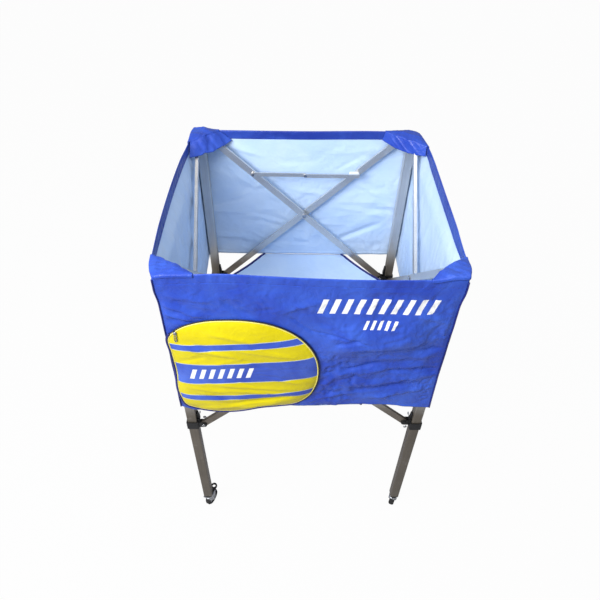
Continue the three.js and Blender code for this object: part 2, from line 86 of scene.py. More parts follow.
class Side(Enum):
    """A side of the basket: its name, its outward direction and the direction to the right
    of someone who faces it from outside."""

    FRONT = ("front", (0.0, -1.0), (1.0, 0.0))
    RIGHT = ("right", (1.0, 0.0), (0.0, 1.0))
    REAR = ("rear", (0.0, 1.0), (-1.0, 0.0))
    LEFT = ("left", (-1.0, 0.0), (0.0, -1.0))

    @property
    def label(self) -> str:
        """The side's name as the record writes it."""
        return self.value[0]

    @property
    def outward(self) -> Array:
        """Unit vector out of the basket."""
        return np.array((*self.value[1], 0.0))

    @property
    def along(self) -> Array:
        """Unit vector to the right as seen from outside."""
        return np.array((*self.value[2], 0.0))


class Corner(Enum):
    """A corner of the basket: its name and the signs of its x and y."""

    FRONT_LEFT = ("front_left", -1.0, -1.0)
    FRONT_RIGHT = ("front_right", 1.0, -1.0)
    REAR_LEFT = ("rear_left", -1.0, 1.0)
    REAR_RIGHT = ("rear_right", 1.0, 1.0)

    @property
    def label(self) -> str:
        """The corner's name as the record writes it."""
        return self.value[0]

    @property
    def signs(self) -> tuple[float, float]:
        """Signs of x and y at this corner."""
        return self.value[1], self.value[2]


# Small pieces of arithmetic on whole arrays


def ease(x: Array) -> Array:
    """Smooth step: 0 below 0, 1 above 1, three x squared less two x cubed between."""
    t = np.clip(x, 0.0, 1.0)
    return t * t * (3.0 - 2.0 * t)


def at_least(low: float, share: Array) -> Array:
    """A share between 0 and 1, squeezed to lie between a least value and 1."""
    return low + (1.0 - low) * share


def through_knots(x: Array, knots: Knots) -> Array:
    """Smooth curve through knots: a cubic between neighbours whose slope at each knot is that
    of the line between the knots on both sides of it.

    Args:
        x: places to evaluate.
        knots: pairs of place and value, places rising.

    Returns:
        Values at x, held constant beyond the first and last knot.
    """
    px, py = np.array(knots, float).T
    slopes = np.gradient(py, px)
    t = np.clip(x, px[0], px[-1])
    i = np.clip(np.searchsorted(px, t, side="right") - 1, 0, len(px) - 2)
    width = px[i + 1] - px[i]
    k = (t - px[i]) / width
    return (
        py[i] * (1 + 2 * k) * (1 - k) ** 2
        + slopes[i] * width * k * (1 - k) ** 2
        + py[i + 1] * k * k * (3 - 2 * k)
        + slopes[i + 1] * width * k * k * (k - 1)
    )


def ripple(a: Array, b: Array, seed: int, longest: float, count: int = 7) -> Array:
    """Soft random waves: a sum of sines in random directions, each shorter and lower than the
    one before, scaled to lie roughly between -1 and 1.

    Args:
        a: first coordinate, in metres.
        b: second coordinate, in metres.
        seed: seed of the random directions.
        longest: length of the longest wave, in metres.
        count: number of waves.

    Returns:
        Array of heights, without unit.
    """
    shorter, lower, gain = 1.37, 0.8, 1.6
    rng = np.random.default_rng(seed)
    total = np.zeros(np.broadcast(a, b).shape)
    weight = 0.0
    for step in range(count):
        angle, phase = rng.uniform(0.0, FULL_TURN, 2)
        k = FULL_TURN * shorter**step / longest
        share = lower**step
        total += share * np.sin(k * (a * math.cos(angle) + b * math.sin(angle)) + phase)
        weight += share
    return total / weight * gain


def crumpled(a: Array, b: Array, seed: int, longest: float, count: int = 6) -> Array:
    """Crumpled cloth: a sum of ridges in patches. Each set is the root of a squared sine plus a
    small number, along a random direction bent by soft waves, times a soft patch that rises and
    falls over a few ridges. Each set is shorter and lower than the set before.

    Args:
        a: first coordinate, in metres.
        b: second coordinate, in metres.
        seed: seed of the random directions.
        longest: distance between the broadest ridges, in metres.
        count: number of sets.

    Returns:
        Array of heights about zero, without unit.
    """
    shorter, lower, rounding, mean = 1.34, 0.78, 0.03, 0.68
    rng = np.random.default_rng(seed)
    total = np.zeros(np.broadcast(a, b).shape)
    for step in range(count):
        size = longest / shorter**step
        angle, phase = rng.uniform(0.0, math.pi, 2)
        bend = 0.6 * size * ripple(a, b, seed + 10 + step, size * 1.7, 4)
        patch = ease(0.5 + 0.9 * ripple(a, b, seed + 30 + step, size * 2.6, 3))
        way = a * math.cos(angle) + b * math.sin(angle) + bend
        ridge = np.sqrt(np.sin(math.pi * way / size + phase) ** 2 + rounding) - mean
        total += ridge * patch * lower**step
    return total


@dataclass(frozen=True)
class Crease:
    """A fold line in cloth, from one place on the wall to another. A positive height stands
    out and a negative one goes in."""

    start: tuple[float, float]
    end: tuple[float, float]
    height: float
    width: float
    steepness: float = 1.7
    fade: float = 0.45
    overrun: float = 0.25

    def lift(self, a: Array, b: Array) -> Array:
        """Height of the fold: a bell across the line that is steeper on its lower side, faded
        towards both ends of the line.

        Args:
            a: places along the wall.
            b: heights on the wall.

        Returns:
            Offset out of the wall at each place, in metres.
        """
        run = np.array(self.end) - np.array(self.start)
        length = float(np.hypot(*run))
        ux, uy = run / length
        da, db = a - self.start[0], b - self.start[1]
        t = (da * ux + db * uy) / length
        across = (db * ux - da * uy) / self.width
        steep = np.where(across < 0.0, across * self.steepness, across)
        fade = ease((t + self.overrun) / self.fade)
        fade = fade * ease((1.0 + self.overrun - t) / self.fade)
        return self.height * np.exp(-steep * steep) * fade


@dataclass(frozen=True)
class Crumple:
    """A patch of small random folds, all drawn from one seed."""

    seed: int
    count: int
    middle: tuple[float, float]
    reach: tuple[float, float]
    length: tuple[float, float]
    heading: tuple[float, float]
    height: float
    width: tuple[float, float]

    def creases(self) -> list[Crease]:
        """The patch's folds.

        Returns:
            One Crease for each fold, its place, heading, length and height random.
        """
        rng = np.random.default_rng(self.seed)
        folds = []
        for _ in range(self.count):
            a = self.middle[0] + rng.uniform(-1, 1) * self.reach[0]
            b = self.middle[1] + rng.uniform(-1, 1) * self.reach[1]
            angle = math.radians(rng.normal(self.heading[0], self.heading[1]))
            half = 0.5 * rng.uniform(*self.length)
            da, db = half * math.cos(angle), half * math.sin(angle)
            height = self.height * rng.uniform(0.35, 1.0) * rng.choice((-1.0, 1.0))
            width = rng.uniform(*self.width)
            folds.append(Crease((a - da, b - db), (a + da, b + db), height, width))
        return folds


def creases_from(rows: tuple[tuple[float, ...], ...]) -> list[Crease]:
    """Creases from rows of start, end, height and width."""
    return [Crease(row[:2], row[2:4], *row[4:]) for row in rows]


def fold_field(a: Array, b: Array, folds: list[Crease]) -> Array:
    """Sum of the lifts of many folds at places a along the wall and heights b."""
    return sum((fold.lift(a, b) for fold in folds), np.zeros(np.broadcast(a, b).shape))


def bellied(plane: float, belly: float, s: Array, share: Array) -> Array:
    """Distance out of a wall that bellies like half a sine, both across (s) and down (share)."""
    across = np.cos(np.clip(s, -1, 1) * math.pi / 2) ** 0.8
    return plane + belly * across * np.sin(np.clip(share, 0, 1) * math.pi) ** 0.7


# Meshes


def grid_normals(points: Array) -> Array:
    """Unit normals of a grid surface: the step down the rows crossed with the step along the
    columns.

    Args:
        points: array of rows x columns x 3.

    Returns:
        Array of the same shape.
    """
    down = np.gradient(points, axis=0)
    across = np.gradient(points, axis=1)
    normal = np.cross(down, across)
    return normal / np.maximum(np.linalg.norm(normal, axis=2, keepdims=True), 1e-12)


def shell_arrays(outer: Array, inner: Array, uv: Array) -> tuple[Array, Array, Array, Array]:
    """Arrays of a closed sheet: an outer grid, an inner grid turned the other way, and a strip
    along each of the four edges.

    Args:
        outer: points of the outer grid, rows x columns x 3.
        inner: points of the inner grid, of the same shape.
        uv: one pair for each point of a grid, which both grids share.

    Returns:
        The vertices, the quads, the zone of each quad (0 outer, 1 inner, 2 edge) and the uv.
    """
    rows, cols = outer.shape[:2]
    o = np.arange(rows * cols).reshape(rows, cols)
    i = o + rows * cols
    parts = [
        np.stack([o[:-1, :-1], o[1:, :-1], o[1:, 1:], o[:-1, 1:]], -1),
        np.stack([i[:-1, :-1], i[:-1, 1:], i[1:, 1:], i[1:, :-1]], -1),
        np.stack([o[0, :-1], o[0, 1:], i[0, 1:], i[0, :-1]], -1),
        np.stack([o[-1, 1:], o[-1, :-1], i[-1, :-1], i[-1, 1:]], -1),
        np.stack([o[1:, 0], o[:-1, 0], i[:-1, 0], i[1:, 0]], -1),
        np.stack([o[:-1, -1], o[1:, -1], i[1:, -1], i[:-1, -1]], -1),
    ]
    flat = [part.reshape(-1, 4) for part in parts]
    zones = np.concatenate([np.full(len(f), min(k, 2)) for k, f in enumerate(flat)])
    points = np.concatenate([outer.reshape(-1, 3), inner.reshape(-1, 3)])
    return points, np.concatenate(flat), zones, np.tile(uv.reshape(-1, 2), (2, 1))


def link_object(name: str, mesh: bpy.types.Mesh, corners: Array,
                uv: Array | None) -> bpy.types.Object:
    """Finish a mesh, smooth shaded and with its UV map, and put it into the scene.

    Args:
        name: the piece's name.
        mesh: its mesh, with all faces.
        corners: vertex number of each corner of each face.
        uv: one pair for each vertex, in metres, or None.

    Returns:
        The new object, at the origin.
    """
    mesh.polygons.foreach_set("use_smooth", np.ones(len(mesh.polygons), bool))
    if uv is not None:
        layer = mesh.uv_layers.new(name="cloth")
        layer.data.foreach_set("uv", uv[corners].astype(np.float32).ravel())
    mesh.update(calc_edges=True)
    obj = bpy.data.objects.new(name, mesh)
    bpy.context.scene.collection.objects.link(obj)
    return obj


def quad_object(name: str, points: Array, quads: Array, materials: list[bpy.types.Material],
                indices: Array | None = None, uv: Array | None = None) -> bpy.types.Object:
    """Object from arrays of vertices and quads.

    Args:
        name: the piece's name.
        points: vertices, n x 3.
        quads: vertex numbers, m x 4.
        materials: the object's materials.
        indices: material number of each quad.
        uv: one pair for each vertex, in metres on the cloth.

    Returns:
        The new object.
    """
    mesh = bpy.data.meshes.new(name)
    mesh.vertices.add(len(points))
    mesh.vertices.foreach_set("co", np.ascontiguousarray(points, np.float32).ravel())
    mesh.loops.add(quads.size)
    mesh.loops.foreach_set("vertex_index", quads.astype(np.int32).ravel())
    mesh.polygons.add(len(quads))
    mesh.polygons.foreach_set("loop_start", np.arange(len(quads), dtype=np.int32) * 4)
    for material in materials:
        mesh.materials.append(material)
    if indices is not None:
        mesh.polygons.foreach_set("material_index", indices.astype(np.int32))
    obj = link_object(name, mesh, quads.ravel(), uv)
    mesh.validate()
    return obj


def poly_object(name: str, points: Array, faces: Faces, material: bpy.types.Material,
                uv: Array | None = None) -> bpy.types.Object:
    """Object from vertices and faces of any number of corners.

    Args:
        name: the piece's name.
        points: vertices, n x 3.
        faces: vertex numbers of each face.
        material: the object's material.
        uv: one pair for each vertex, in metres.

    Returns:
        The new object.
    """
    mesh = bpy.data.meshes.new(name)
    mesh.from_pydata(np.asarray(points, float).tolist(), [], faces)
    mesh.materials.append(material)
    return link_object(name, mesh, np.array([v for face in faces for v in face]), uv)


def declare(obj: bpy.types.Object, body: str, node: str | None = None) -> None:
    """Args:
        obj: the piece.
        body: body that carries it.
        node: the node that it stands for, if it replaces one.
    """
    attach(obj, body)
    if node:
        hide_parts(node)


def tube_arrays(path: Array, radius: Array, sides: int, up: Array) -> tuple[Array, Faces, Array]:
    """A round bar along a path: at each point a circle in the plane of two vectors, one square
    to the path and to `up`, the other square to both. The ends are closed by flat caps.

    Args:
        path: points, n x 3.
        radius: radius at each point.
        sides: corners of the circle.
        up: a direction that the path never takes.

    Returns:
        Vertices, faces, and a pair for each vertex: way along the path, and way round it as if
        the bar were 1 mm in radius.
    """
    tangent = np.gradient(path, axis=0)
    tangent /= np.linalg.norm(tangent, axis=1, keepdims=True)
    first = np.cross(tangent, up)
    first /= np.linalg.norm(first, axis=1, keepdims=True)
    second = np.cross(tangent, first)
    turn = np.linspace(0.0, FULL_TURN, sides, endpoint=False)
    cosine, sine = np.cos(turn)[None, :, None], np.sin(turn)[None, :, None]
    ring = cosine * first[:, None] + sine * second[:, None]
    points = path[:, None] + ring * np.asarray(radius)[:, None, None]
    index = np.arange(len(path) * sides).reshape(-1, sides)
    following = np.roll(index, -1, axis=1)
    quads = np.stack([index[:-1], following[:-1], following[1:], index[1:]], -1)
    faces = [tuple(q) for q in quads.reshape(-1, 4).tolist()]
    faces += [tuple(index[0][::-1].tolist()), tuple(index[-1].tolist())]
    way = np.concatenate([[0.0], np.cumsum(np.linalg.norm(np.diff(path, axis=0), axis=1))])
    uv = np.stack(np.broadcast_arrays(way[:, None], turn[None, :] * 0.001), -1).reshape(-1, 2)
    return points.reshape(-1, 3), faces, uv


def turned_arrays(profile: Array, centre: Array, axis: Array,
                  segments: int = 20) -> tuple[Array, Faces]:
    """A turned shape: every pair of radius and height goes once round the axis, and both ends
    close in a point.

    Args:
        profile: pairs of radius and height between the two poles, heights falling.
        centre: foot of the axis.
        axis: unit vector.
        segments: steps round the axis.

    Returns:
        Vertices and faces.
    """
    helper = UP if abs(axis[2]) < 0.9 else np.array((1.0, 0.0, 0.0))
    first = np.cross(axis, helper)
    first /= np.linalg.norm(first)
    second = np.cross(axis, first)
    turn = np.linspace(0.0, FULL_TURN, segments, endpoint=False)
    ring = np.cos(turn)[:, None] * first + np.sin(turn)[:, None] * second
    body = profile[:, 0, None, None] * ring[None] + profile[:, 1, None, None] * axis
    poles = [(centre + axis * profile[end, 1])[None] for end in (0, -1)]
    points = np.concatenate([poles[0], (centre + body).reshape(-1, 3), poles[1]])
    index = 1 + np.arange(len(profile) * segments).reshape(-1, segments)
    following = np.roll(index, -1, axis=1)
    quads = np.stack([index[:-1], index[1:], following[1:], following[:-1]], -1)
    faces = [tuple(q) for q in quads.reshape(-1, 4).tolist()]
    faces += [(0, a, b) for a, b in zip(index[0].tolist(), following[0].tolist())]
    last = len(points) - 1
    faces += [(last, b, a) for a, b in zip(index[-1].tolist(), following[-1].tolist())]
    return points, faces


def joined(parts: list[tuple[Array, Faces]]) -> tuple[Array, Faces]:
    """Several sets of vertices and faces as one.

    Args:
        parts: pairs of vertices and faces.

    Returns:
        One pair, with the face numbers moved along.
    """
    points, faces, start = [], [], 0
    for part_points, part_faces in parts:
        points.append(part_points)
        faces += [tuple(v + start for v in face) for face in part_faces]
        start += len(part_points)
    return np.concatenate(points), faces


# Finishes


class Weaver:
    """Short way to write a material's node tree."""

    def __init__(self, name: str) -> None:
        """Start a material that has only a Principled shader.

        Args:
            name: the material's name.
        """
        self.material = bpy.data.materials.new(name)
        self.material.use_nodes = True
        self.tree = self.material.node_tree
        self.tree.nodes.clear()
        self.output = self.tree.nodes.new("ShaderNodeOutputMaterial")
        self.shader = self.tree.nodes.new("ShaderNodeBsdfPrincipled")
        self.feed(self.output, {0: self.shader.outputs[0]})

    def feed(self, target: bpy.types.Node, inputs: dict[str | int, object]) -> None:
        """Set sockets, or link other nodes' sockets to them.

        Args:
            target: the node to feed.
            inputs: socket name or number, to a value or another node's socket.
        """
        for key, value in inputs.items():
            if isinstance(value, bpy.types.NodeSocket):
                self.tree.links.new(value, target.inputs[key])
            else:
                target.inputs[key].default_value = value

    def shade(self, colour: object, roughness: object, normal: object = None,
              **more: object) -> bpy.types.Material:
        """Feed the shader.

        Args:
            colour: its base colour.
            roughness: its roughness.
            normal: its normal, if it has one of its own.
            more: other sockets, with an underscore for each blank.

        Returns:
            The finished material.
        """
        inputs = {"Base Color": colour, "Roughness": roughness}
        inputs.update({key.replace("_", " "): value for key, value in more.items()})
        if normal is not None:
            inputs["Normal"] = normal
        self.feed(self.shader, inputs)
        return self.material

    def node(self, kind: str, inputs: dict[str | int, object] | None = None,
             **props: object) -> bpy.types.Node:
        """Add a node.

        Args:
            kind: node type without the "ShaderNode" prefix.
            inputs: socket name or number, to a value or another node's socket.
            props: the node's own settings.

        Returns:
            The new node.
        """
        new = self.tree.nodes.new("ShaderNode" + kind)
        for key, value in props.items():
            setattr(new, key, value)
        self.feed(new, inputs or {})
        return new

    def maths(self, operation: str, *terms: object) -> bpy.types.NodeSocket:
        """Output of a Math node on up to three terms."""
        return self.node("Math", dict(enumerate(terms)), operation=operation).outputs[0]

    def product(self, *terms: object) -> object:
        """Product of two or more terms.

        Args:
            terms: values or sockets.

        Returns:
            Socket with the product.
        """
        result = terms[0]
        for term in terms[1:]:
            result = self.maths("MULTIPLY", result, term)
        return result

    def between(self, value: object, low: object, high: object) -> object:
        """1 where a value lies between two others, and 0 elsewhere."""
        return self.product(self.maths("GREATER_THAN", value, low),
                            self.maths("LESS_THAN", value, high))

    def blend(self, factor: object, a: object, b: object) -> bpy.types.NodeSocket:
        """Output of a colour mix, which is a at factor 0 and b at factor 1."""
        return self.node("Mix", {0: factor, 6: a, 7: b}, data_type="RGBA").outputs[2]

    def noise(self, where: object, scale: float, detail: float = 2.0,
              distortion: float = 0.0) -> bpy.types.NodeSocket:
        """Factor output of a noise texture at some coordinates."""
        inputs = {"Vector": where, "Scale": scale, "Detail": detail, "Distortion": distortion}
        return self.node("TexNoise", inputs).outputs[0]

    def ramp(self, factor: object, low: float, high: float) -> bpy.types.NodeSocket:
        """Smooth step of a factor, which rises from 0 at low to 1 at high."""
        inputs = {"Value": factor, "From Min": low, "From Max": high}
        return self.node("MapRange", inputs, interpolation_type="SMOOTHSTEP").outputs[0]

    def bump(self, height: object, strength: float, distance: float,
             below: object = None) -> bpy.types.NodeSocket:
        """Bump node.

        Args:
            height: the relief.
            strength: its strength.
            distance: its height, in metres.
            below: a normal on which it lies, or None.

        Returns:
            Normal output.
        """
        inputs = {"Height": height, "Strength": strength, "Distance": distance}
        if below is not None:
            inputs["Normal"] = below
        return self.node("Bump", inputs).outputs[0]

    def coordinates(self, socket: str) -> bpy.types.NodeSocket:
        """A Texture Coordinate output."""
        return self.node("TexCoord").outputs[socket]


def paint(red: int, green: int, blue: int) -> Colour:
    """Linear colour of a screen colour: each channel over 255, with the sRGB curve undone.

    Args:
        red: 0 to 255.
        green: 0 to 255.
        blue: 0 to 255.

    Returns:
        Linear red, green and blue, and full alpha.
    """
    values = []
    for channel in (red, green, blue):
        c = channel / 255.0
        values.append(c / 12.92 if c <= 0.04045 else ((c + 0.055) / 1.055) ** 2.4)
    return values[0], values[1], values[2], 1.0


class Lay(Enum):
    """How a printed or woven pattern lies on the cloth."""

    PLAIN = "plain"
    SLANTED_BARS = "slanted bars"
    STRAIGHT_BANDS = "straight bands"


@dataclass(frozen=True)
class ClothFinish:
    """Coated nylon: a plain weave of fine threads, close shades in broad patches, and a skin of
    shallow crinkles that catches the light. Its print is plain bars or bands."""

    name: str
    light: Colour
    dark: Colour
    roughness: float = 0.33
    sheen: float = 0.0
    thread: float = 0.0009
    crinkle: float = 0.5
    pattern: Lay = Lay.PLAIN
    print_colour: Colour = (0.9, 0.9, 0.9, 1.0)
    slant: float = 0.3
    rows: tuple[tuple[float, ...], ...] = (
        (0.015, 0.272, 0.8870, 0.9260, 0.0251, 0.46), (0.112, 0.190, 0.8480, 0.8700, 0.0148, 0.46),
    )
    bands: Knots = ((0.0, 0.066), (0.088, 0.017), (-0.088, 0.017))
    band_slope: float = -0.08
    band_edge: float = 0.0016
    band_bars: tuple[float, ...] = (-0.1248, 0.02, -0.017, 0.0165, 0.0208, 0.48)

    def material(self) -> bpy.types.Material:
        """Build the material.

        Returns:
            Material that reads the piece's own UV map, in metres, and Object coordinates.
        """
        w = Weaver(self.name)
        place = w.coordinates("Object")
        uv = w.node("SeparateXYZ", {0: w.coordinates("UV")})
        u, v = uv.outputs[0], uv.outputs[1]
        patches = w.ramp(w.noise(place, 8.0, 5.0, 0.9), 0.25, 0.75)
        threads = self._threads(w, u, v)
        shade = w.maths("ADD", w.product(patches, 0.8), w.product(threads, 0.2))
        colour = w.blend(shade, self.dark, self.light)
        if self.pattern is Lay.SLANTED_BARS:
            colour = w.blend(self._slanted_bars(w, u, v), colour, self.print_colour)
        elif self.pattern is Lay.STRAIGHT_BANDS:
            colour = self._straight_bands(w, u, v, colour, patches)
        rub = w.product(w.noise(place, 38.0, 3.0), 0.16)
        crinkles = w.bump(w.noise(place, 34.0, 5.0, 1.6), self.crinkle, 0.004)
        return w.shade(
            colour, w.maths("ADD", rub, self.roughness - 0.08),
            w.bump(threads, 0.25, 0.0002, crinkles), Sheen_Weight=self.sheen,
            Sheen_Roughness=0.4, Specular_IOR_Level=0.35,
        )

    def _threads(self, w: Weaver, u: object, v: object) -> object:
        """Weave height: half the product of a sine along the cloth and one across it, plus a
        half.

        Args:
            w: the material's node tree.
            u: place along the cloth.
            v: place across the cloth.

        Returns:
            Socket with the height, from 0 to 1.
        """
        pulse = FULL_TURN / self.thread
        warp, weft = (w.maths("SINE", w.product(way, pulse)) for way in (u, v))
        return w.maths("MULTIPLY_ADD", w.product(warp, weft), 0.5, 0.5)

    def _slanted_bars(self, w: Weaver, u: object, v: object) -> object:
        """Two rows of plain slanted bars: a bar wherever the slanted place, counted in steps of
        the row's pitch, has a fraction below the bar's share of the pitch.

        Args:
            w: the material's node tree.
            u: place along the wall from its middle.
            v: height.

        Returns:
            Socket that is 1 on the bars and 0 elsewhere.
        """
        total: object = 0.0
        for left, right, low, high, pitch, share in self.rows:
            slanted = w.maths("SUBTRACT", u, w.product(w.maths("SUBTRACT", v, low), self.slant))
            step = w.maths("DIVIDE", w.maths("SUBTRACT", slanted, left), pitch)
            bars = w.product(
                w.maths("LESS_THAN", w.maths("FRACT", step), share),
                w.between(slanted, left, right - self.slant * (high - low)),
                w.between(v, low, high),
            )
            total = w.maths("ADD", total, bars)
        return total

    def _straight_bands(self, w: Weaver, u: object, v: object, ground: object,
                        patches: object) -> object:
        """Straight bands across the round pocket: blue where the height above a slanted line is
        within half a band's width, with a pale edge round each band and bars on the broad one.

        Args:
            w: the material's node tree.
            u: place from the pocket's middle.
            v: height from the pocket's middle.
            ground: colour between the bands.
            patches: broad light and dark patches.

        Returns:
            Socket with the colour.
        """
        blue = w.blend(patches, paint(46, 72, 176), paint(78, 110, 208))
        height = w.maths("ADD", v, w.product(u, self.band_slope))
        colour = ground
        for middle, width in self.bands:
            away = w.maths("ABSOLUTE", w.maths("SUBTRACT", height, middle))
            edge = w.maths("LESS_THAN", away, width / 2 + self.band_edge)
            colour = w.blend(edge, colour, paint(196, 206, 190))
            colour = w.blend(w.maths("LESS_THAN", away, width / 2), colour, blue)
        left, right, low, half, pitch, share = self.band_bars
        step = w.maths("SUBTRACT", u, w.product(w.maths("SUBTRACT", v, low), self.slant))
        bars = w.product(
            w.maths("LESS_THAN", w.maths("FRACT", w.maths("DIVIDE", step, pitch)), share),
            w.between(step, left, right),
            w.between(height, -half, half),
        )
        return w.blend(bars, colour, self.print_colour)


@dataclass(frozen=True)
class TubeFinish:
    """Anodised aluminium: fine lines drawn along the tube and faint scuffs. Below the basket its
    tone is darkened as painted shade, and inside the basket it is paler as painted light."""

    name: str
    # light and dark: the tones below the basket, darkened as painted shade
    light: Colour
    dark: Colour
    # the lit pair: paler tones inside the basket, brightened as painted light
    lit_light: Colour
    lit_dark: Colour
    roughness: float
    lengthwise: Point
    metallic: float = 0.85
    scuffed: Colour = paint(205, 202, 198)
    # heights between which the painted shade below turns into the painted light above
    shaded_below: float = 0.50
    lit_above: float = 0.60

    def material(self) -> bpy.types.Material:
        """Build the material.

        Returns:
            Material whose drawn lines are a noise stretched along the tube.
        """
        w = Weaver(self.name)
        place = w.coordinates("Object")
        stretched = w.node("Mapping", {0: place, "Scale": self.lengthwise}).outputs[0]
        lines = w.noise(stretched, 1.0, 3.0)
        scuffs = w.ramp(w.noise(place, 64.0, 4.0), 0.62, 0.80)
        cloud = w.noise(place, 9.0, 3.0)
        tone = w.ramp(w.maths("ADD", w.product(lines, 0.5), w.product(cloud, 0.5)), 0.3, 0.7)
        # painted shade and light: the shaded tones below the basket blend up into the paler lit
        # tones inside it
        shaded_tone = w.blend(tone, self.dark, self.light)
        lit_tone = w.blend(tone, self.lit_dark, self.lit_light)
        height = w.node("SeparateXYZ", {0: place}).outputs[2]
        colour = w.blend(w.ramp(height, self.shaded_below, self.lit_above), shaded_tone, lit_tone)
        rough = w.maths("MULTIPLY_ADD", lines, 0.14, self.roughness - 0.07)
        return w.shade(
            w.blend(w.product(scuffs, 0.2), colour, self.scuffed),
            w.maths("SUBTRACT", rough, w.product(scuffs, 0.06)),
            w.bump(lines, 0.12, 0.0003), Metallic=self.metallic,
        )


@dataclass(frozen=True)
class MouldedFinish:
    """Moulded plastic: a fine leather-like grain with a slightly glossier cloudiness."""

    name: str
    light: Colour
    dark: Colour
    roughness: float
    grain: float = 1500.0
    strength: float = 0.25

    def material(self) -> bpy.types.Material:
        """Build the material.

        Returns:
            Material with a cell grain and cloudy tone.
        """
        w = Weaver(self.name)
        place = w.coordinates("Object")
        cells = w.node("TexVoronoi", {"Vector": place, "Scale": self.grain}).outputs[0]
        cloud = w.ramp(w.noise(place, 55.0, 4.0), 0.3, 0.7)
        return w.shade(
            w.blend(cloud, self.dark, self.light),
            w.maths("MULTIPLY_ADD", cloud, 0.14, self.roughness - 0.07),
            w.bump(cells, self.strength, 0.0002), Specular_IOR_Level=0.45,
        )


@dataclass(frozen=True)
class PlatedFinish:
    """Plated steel: bright, with a slight cloud and small dull spots."""

    name: str
    light: Colour
    dark: Colour
    roughness: float

    def material(self) -> bpy.types.Material:
        """Build the material.

        Returns:
            Metallic material with a cloudy roughness.
        """
        w = Weaver(self.name)
        place = w.coordinates("Object")
        cloud = w.noise(place, 90.0, 4.0, 0.5)
        spots = w.ramp(w.noise(place, 420.0, 2.0), 0.62, 0.7)
        colour = w.blend(w.ramp(cloud, 0.3, 0.7), self.dark, self.light)
        return w.shade(
            w.blend(w.product(spots, 0.4), colour, self.dark),
            w.maths("MULTIPLY_ADD", cloud, 0.2, self.roughness - 0.1),
            w.bump(cloud, 0.06, 0.0004), Metallic=1.0,
        )


@dataclass(frozen=True)
class WheelFinish:
    """A caster wheel in one piece: a pale nylon hub inside a black rubber tyre, told apart by
    the distance from the axle's line."""

    name: str
    centre: Point
    axle: Point
    hub_radius: float = 0.0165
    edge: float = 0.0003

    def material(self) -> bpy.types.Material:
        """Build the material.

        Returns:
            Material that changes at the hub's radius, the length of the cross product of the
            axle and the place counted from the wheel's centre.
        """
        w = Weaver(self.name)
        place = w.coordinates("Object")
        away = w.node("VectorMath", {0: place, 1: self.centre}, operation="SUBTRACT").outputs[0]
        square = w.node("VectorMath", {0: away, 1: self.axle}, operation="CROSS_PRODUCT").outputs[0]
        radius = w.node("VectorMath", {0: square}, operation="LENGTH").outputs["Value"]
        tyre = w.ramp(radius, self.hub_radius - self.edge, self.hub_radius + self.edge)
        dust = w.ramp(w.noise(place, 160.0, 5.0), 0.45, 0.75)
        rubber = w.blend(w.product(dust, 0.5), paint(24, 24, 26), paint(66, 64, 62))
        hub = w.blend(dust, paint(196, 198, 200), paint(160, 162, 165))
        return w.shade(
            w.blend(tyre, hub, rubber), w.maths("MULTIPLY_ADD", tyre, 0.3, 0.35),
            w.bump(w.noise(place, 900.0, 2.0), 0.2, 0.0003),
        )


class Finishes:
    """Every finish of the cart, each made once."""

    def __init__(self) -> None:
        """Make the materials."""
        royal = paint(62, 100, 206), paint(34, 58, 166)
        self.royal = ClothFinish("royal_nylon", *royal).material()
        self.printed = ClothFinish("royal_nylon_printed", *royal,
                                   pattern=Lay.SLANTED_BARS).material()
        # Inner face of the top hem: the folded-over royal cloth is real, but its darker tone is
        # painted shade
        self.hem_inside_painted_shade = ClothFinish(
            "royal_nylon_hem_inside", paint(54, 84, 178), paint(30, 48, 142)
        ).material()
        self.pale = ClothFinish(
            "pale_nylon_inside", paint(204, 225, 250), paint(188, 214, 247),
            roughness=0.5, crinkle=0.25,
        ).material()
        self.navy = ClothFinish(
            "navy_binding", paint(34, 40, 128), paint(22, 27, 92), sheen=0.1, crinkle=0.15
        ).material()
        self.yellow = ClothFinish(
            "yellow_nylon_banded", paint(224, 210, 14), paint(202, 186, 6),
            crinkle=0.4, pattern=Lay.STRAIGHT_BANDS,
        ).material()
        self.cord_yellow = ClothFinish(
            "yellow_piping", paint(240, 230, 130), paint(226, 212, 100), sheen=0.1, crinkle=0.1
        ).material()
        self.zip_tape = ClothFinish(
            "dark_zip", paint(38, 40, 62), paint(22, 24, 40), sheen=0.1, crinkle=0.1
        ).material()
        # Tube finishes: first the tones darkened as painted shade below the basket, then the paler
        # tones of painted light inside it
        self.tube = TubeFinish(
            "anodised_leg", paint(131, 123, 112), paint(112, 105, 95), paint(216, 214, 210),
            paint(198, 197, 195), 0.42, (900.0, 900.0, 6.0),
        ).material()
        self.flat_bar = TubeFinish(
            "anodised_bar", paint(136, 127, 117), paint(117, 109, 100), paint(222, 221, 218),
            paint(204, 203, 201), 0.36, (300.0, 300.0, 300.0),
        ).material()
        self.black = MouldedFinish(
            "black_moulded", paint(24, 24, 26), paint(13, 13, 15), 0.5
        ).material()
        self.white = MouldedFinish(
            "white_nylon", paint(238, 240, 240), paint(222, 226, 228), 0.42, strength=0.1
        ).material()
        self.plated = PlatedFinish(
            "zinc_plated", paint(210, 212, 214), paint(168, 170, 174), 0.3
        ).material()
        self.bright = PlatedFinish(
            "polished_rivet", paint(200, 201, 203), paint(160, 162, 166), 0.25
        ).material()


# The cloth basket


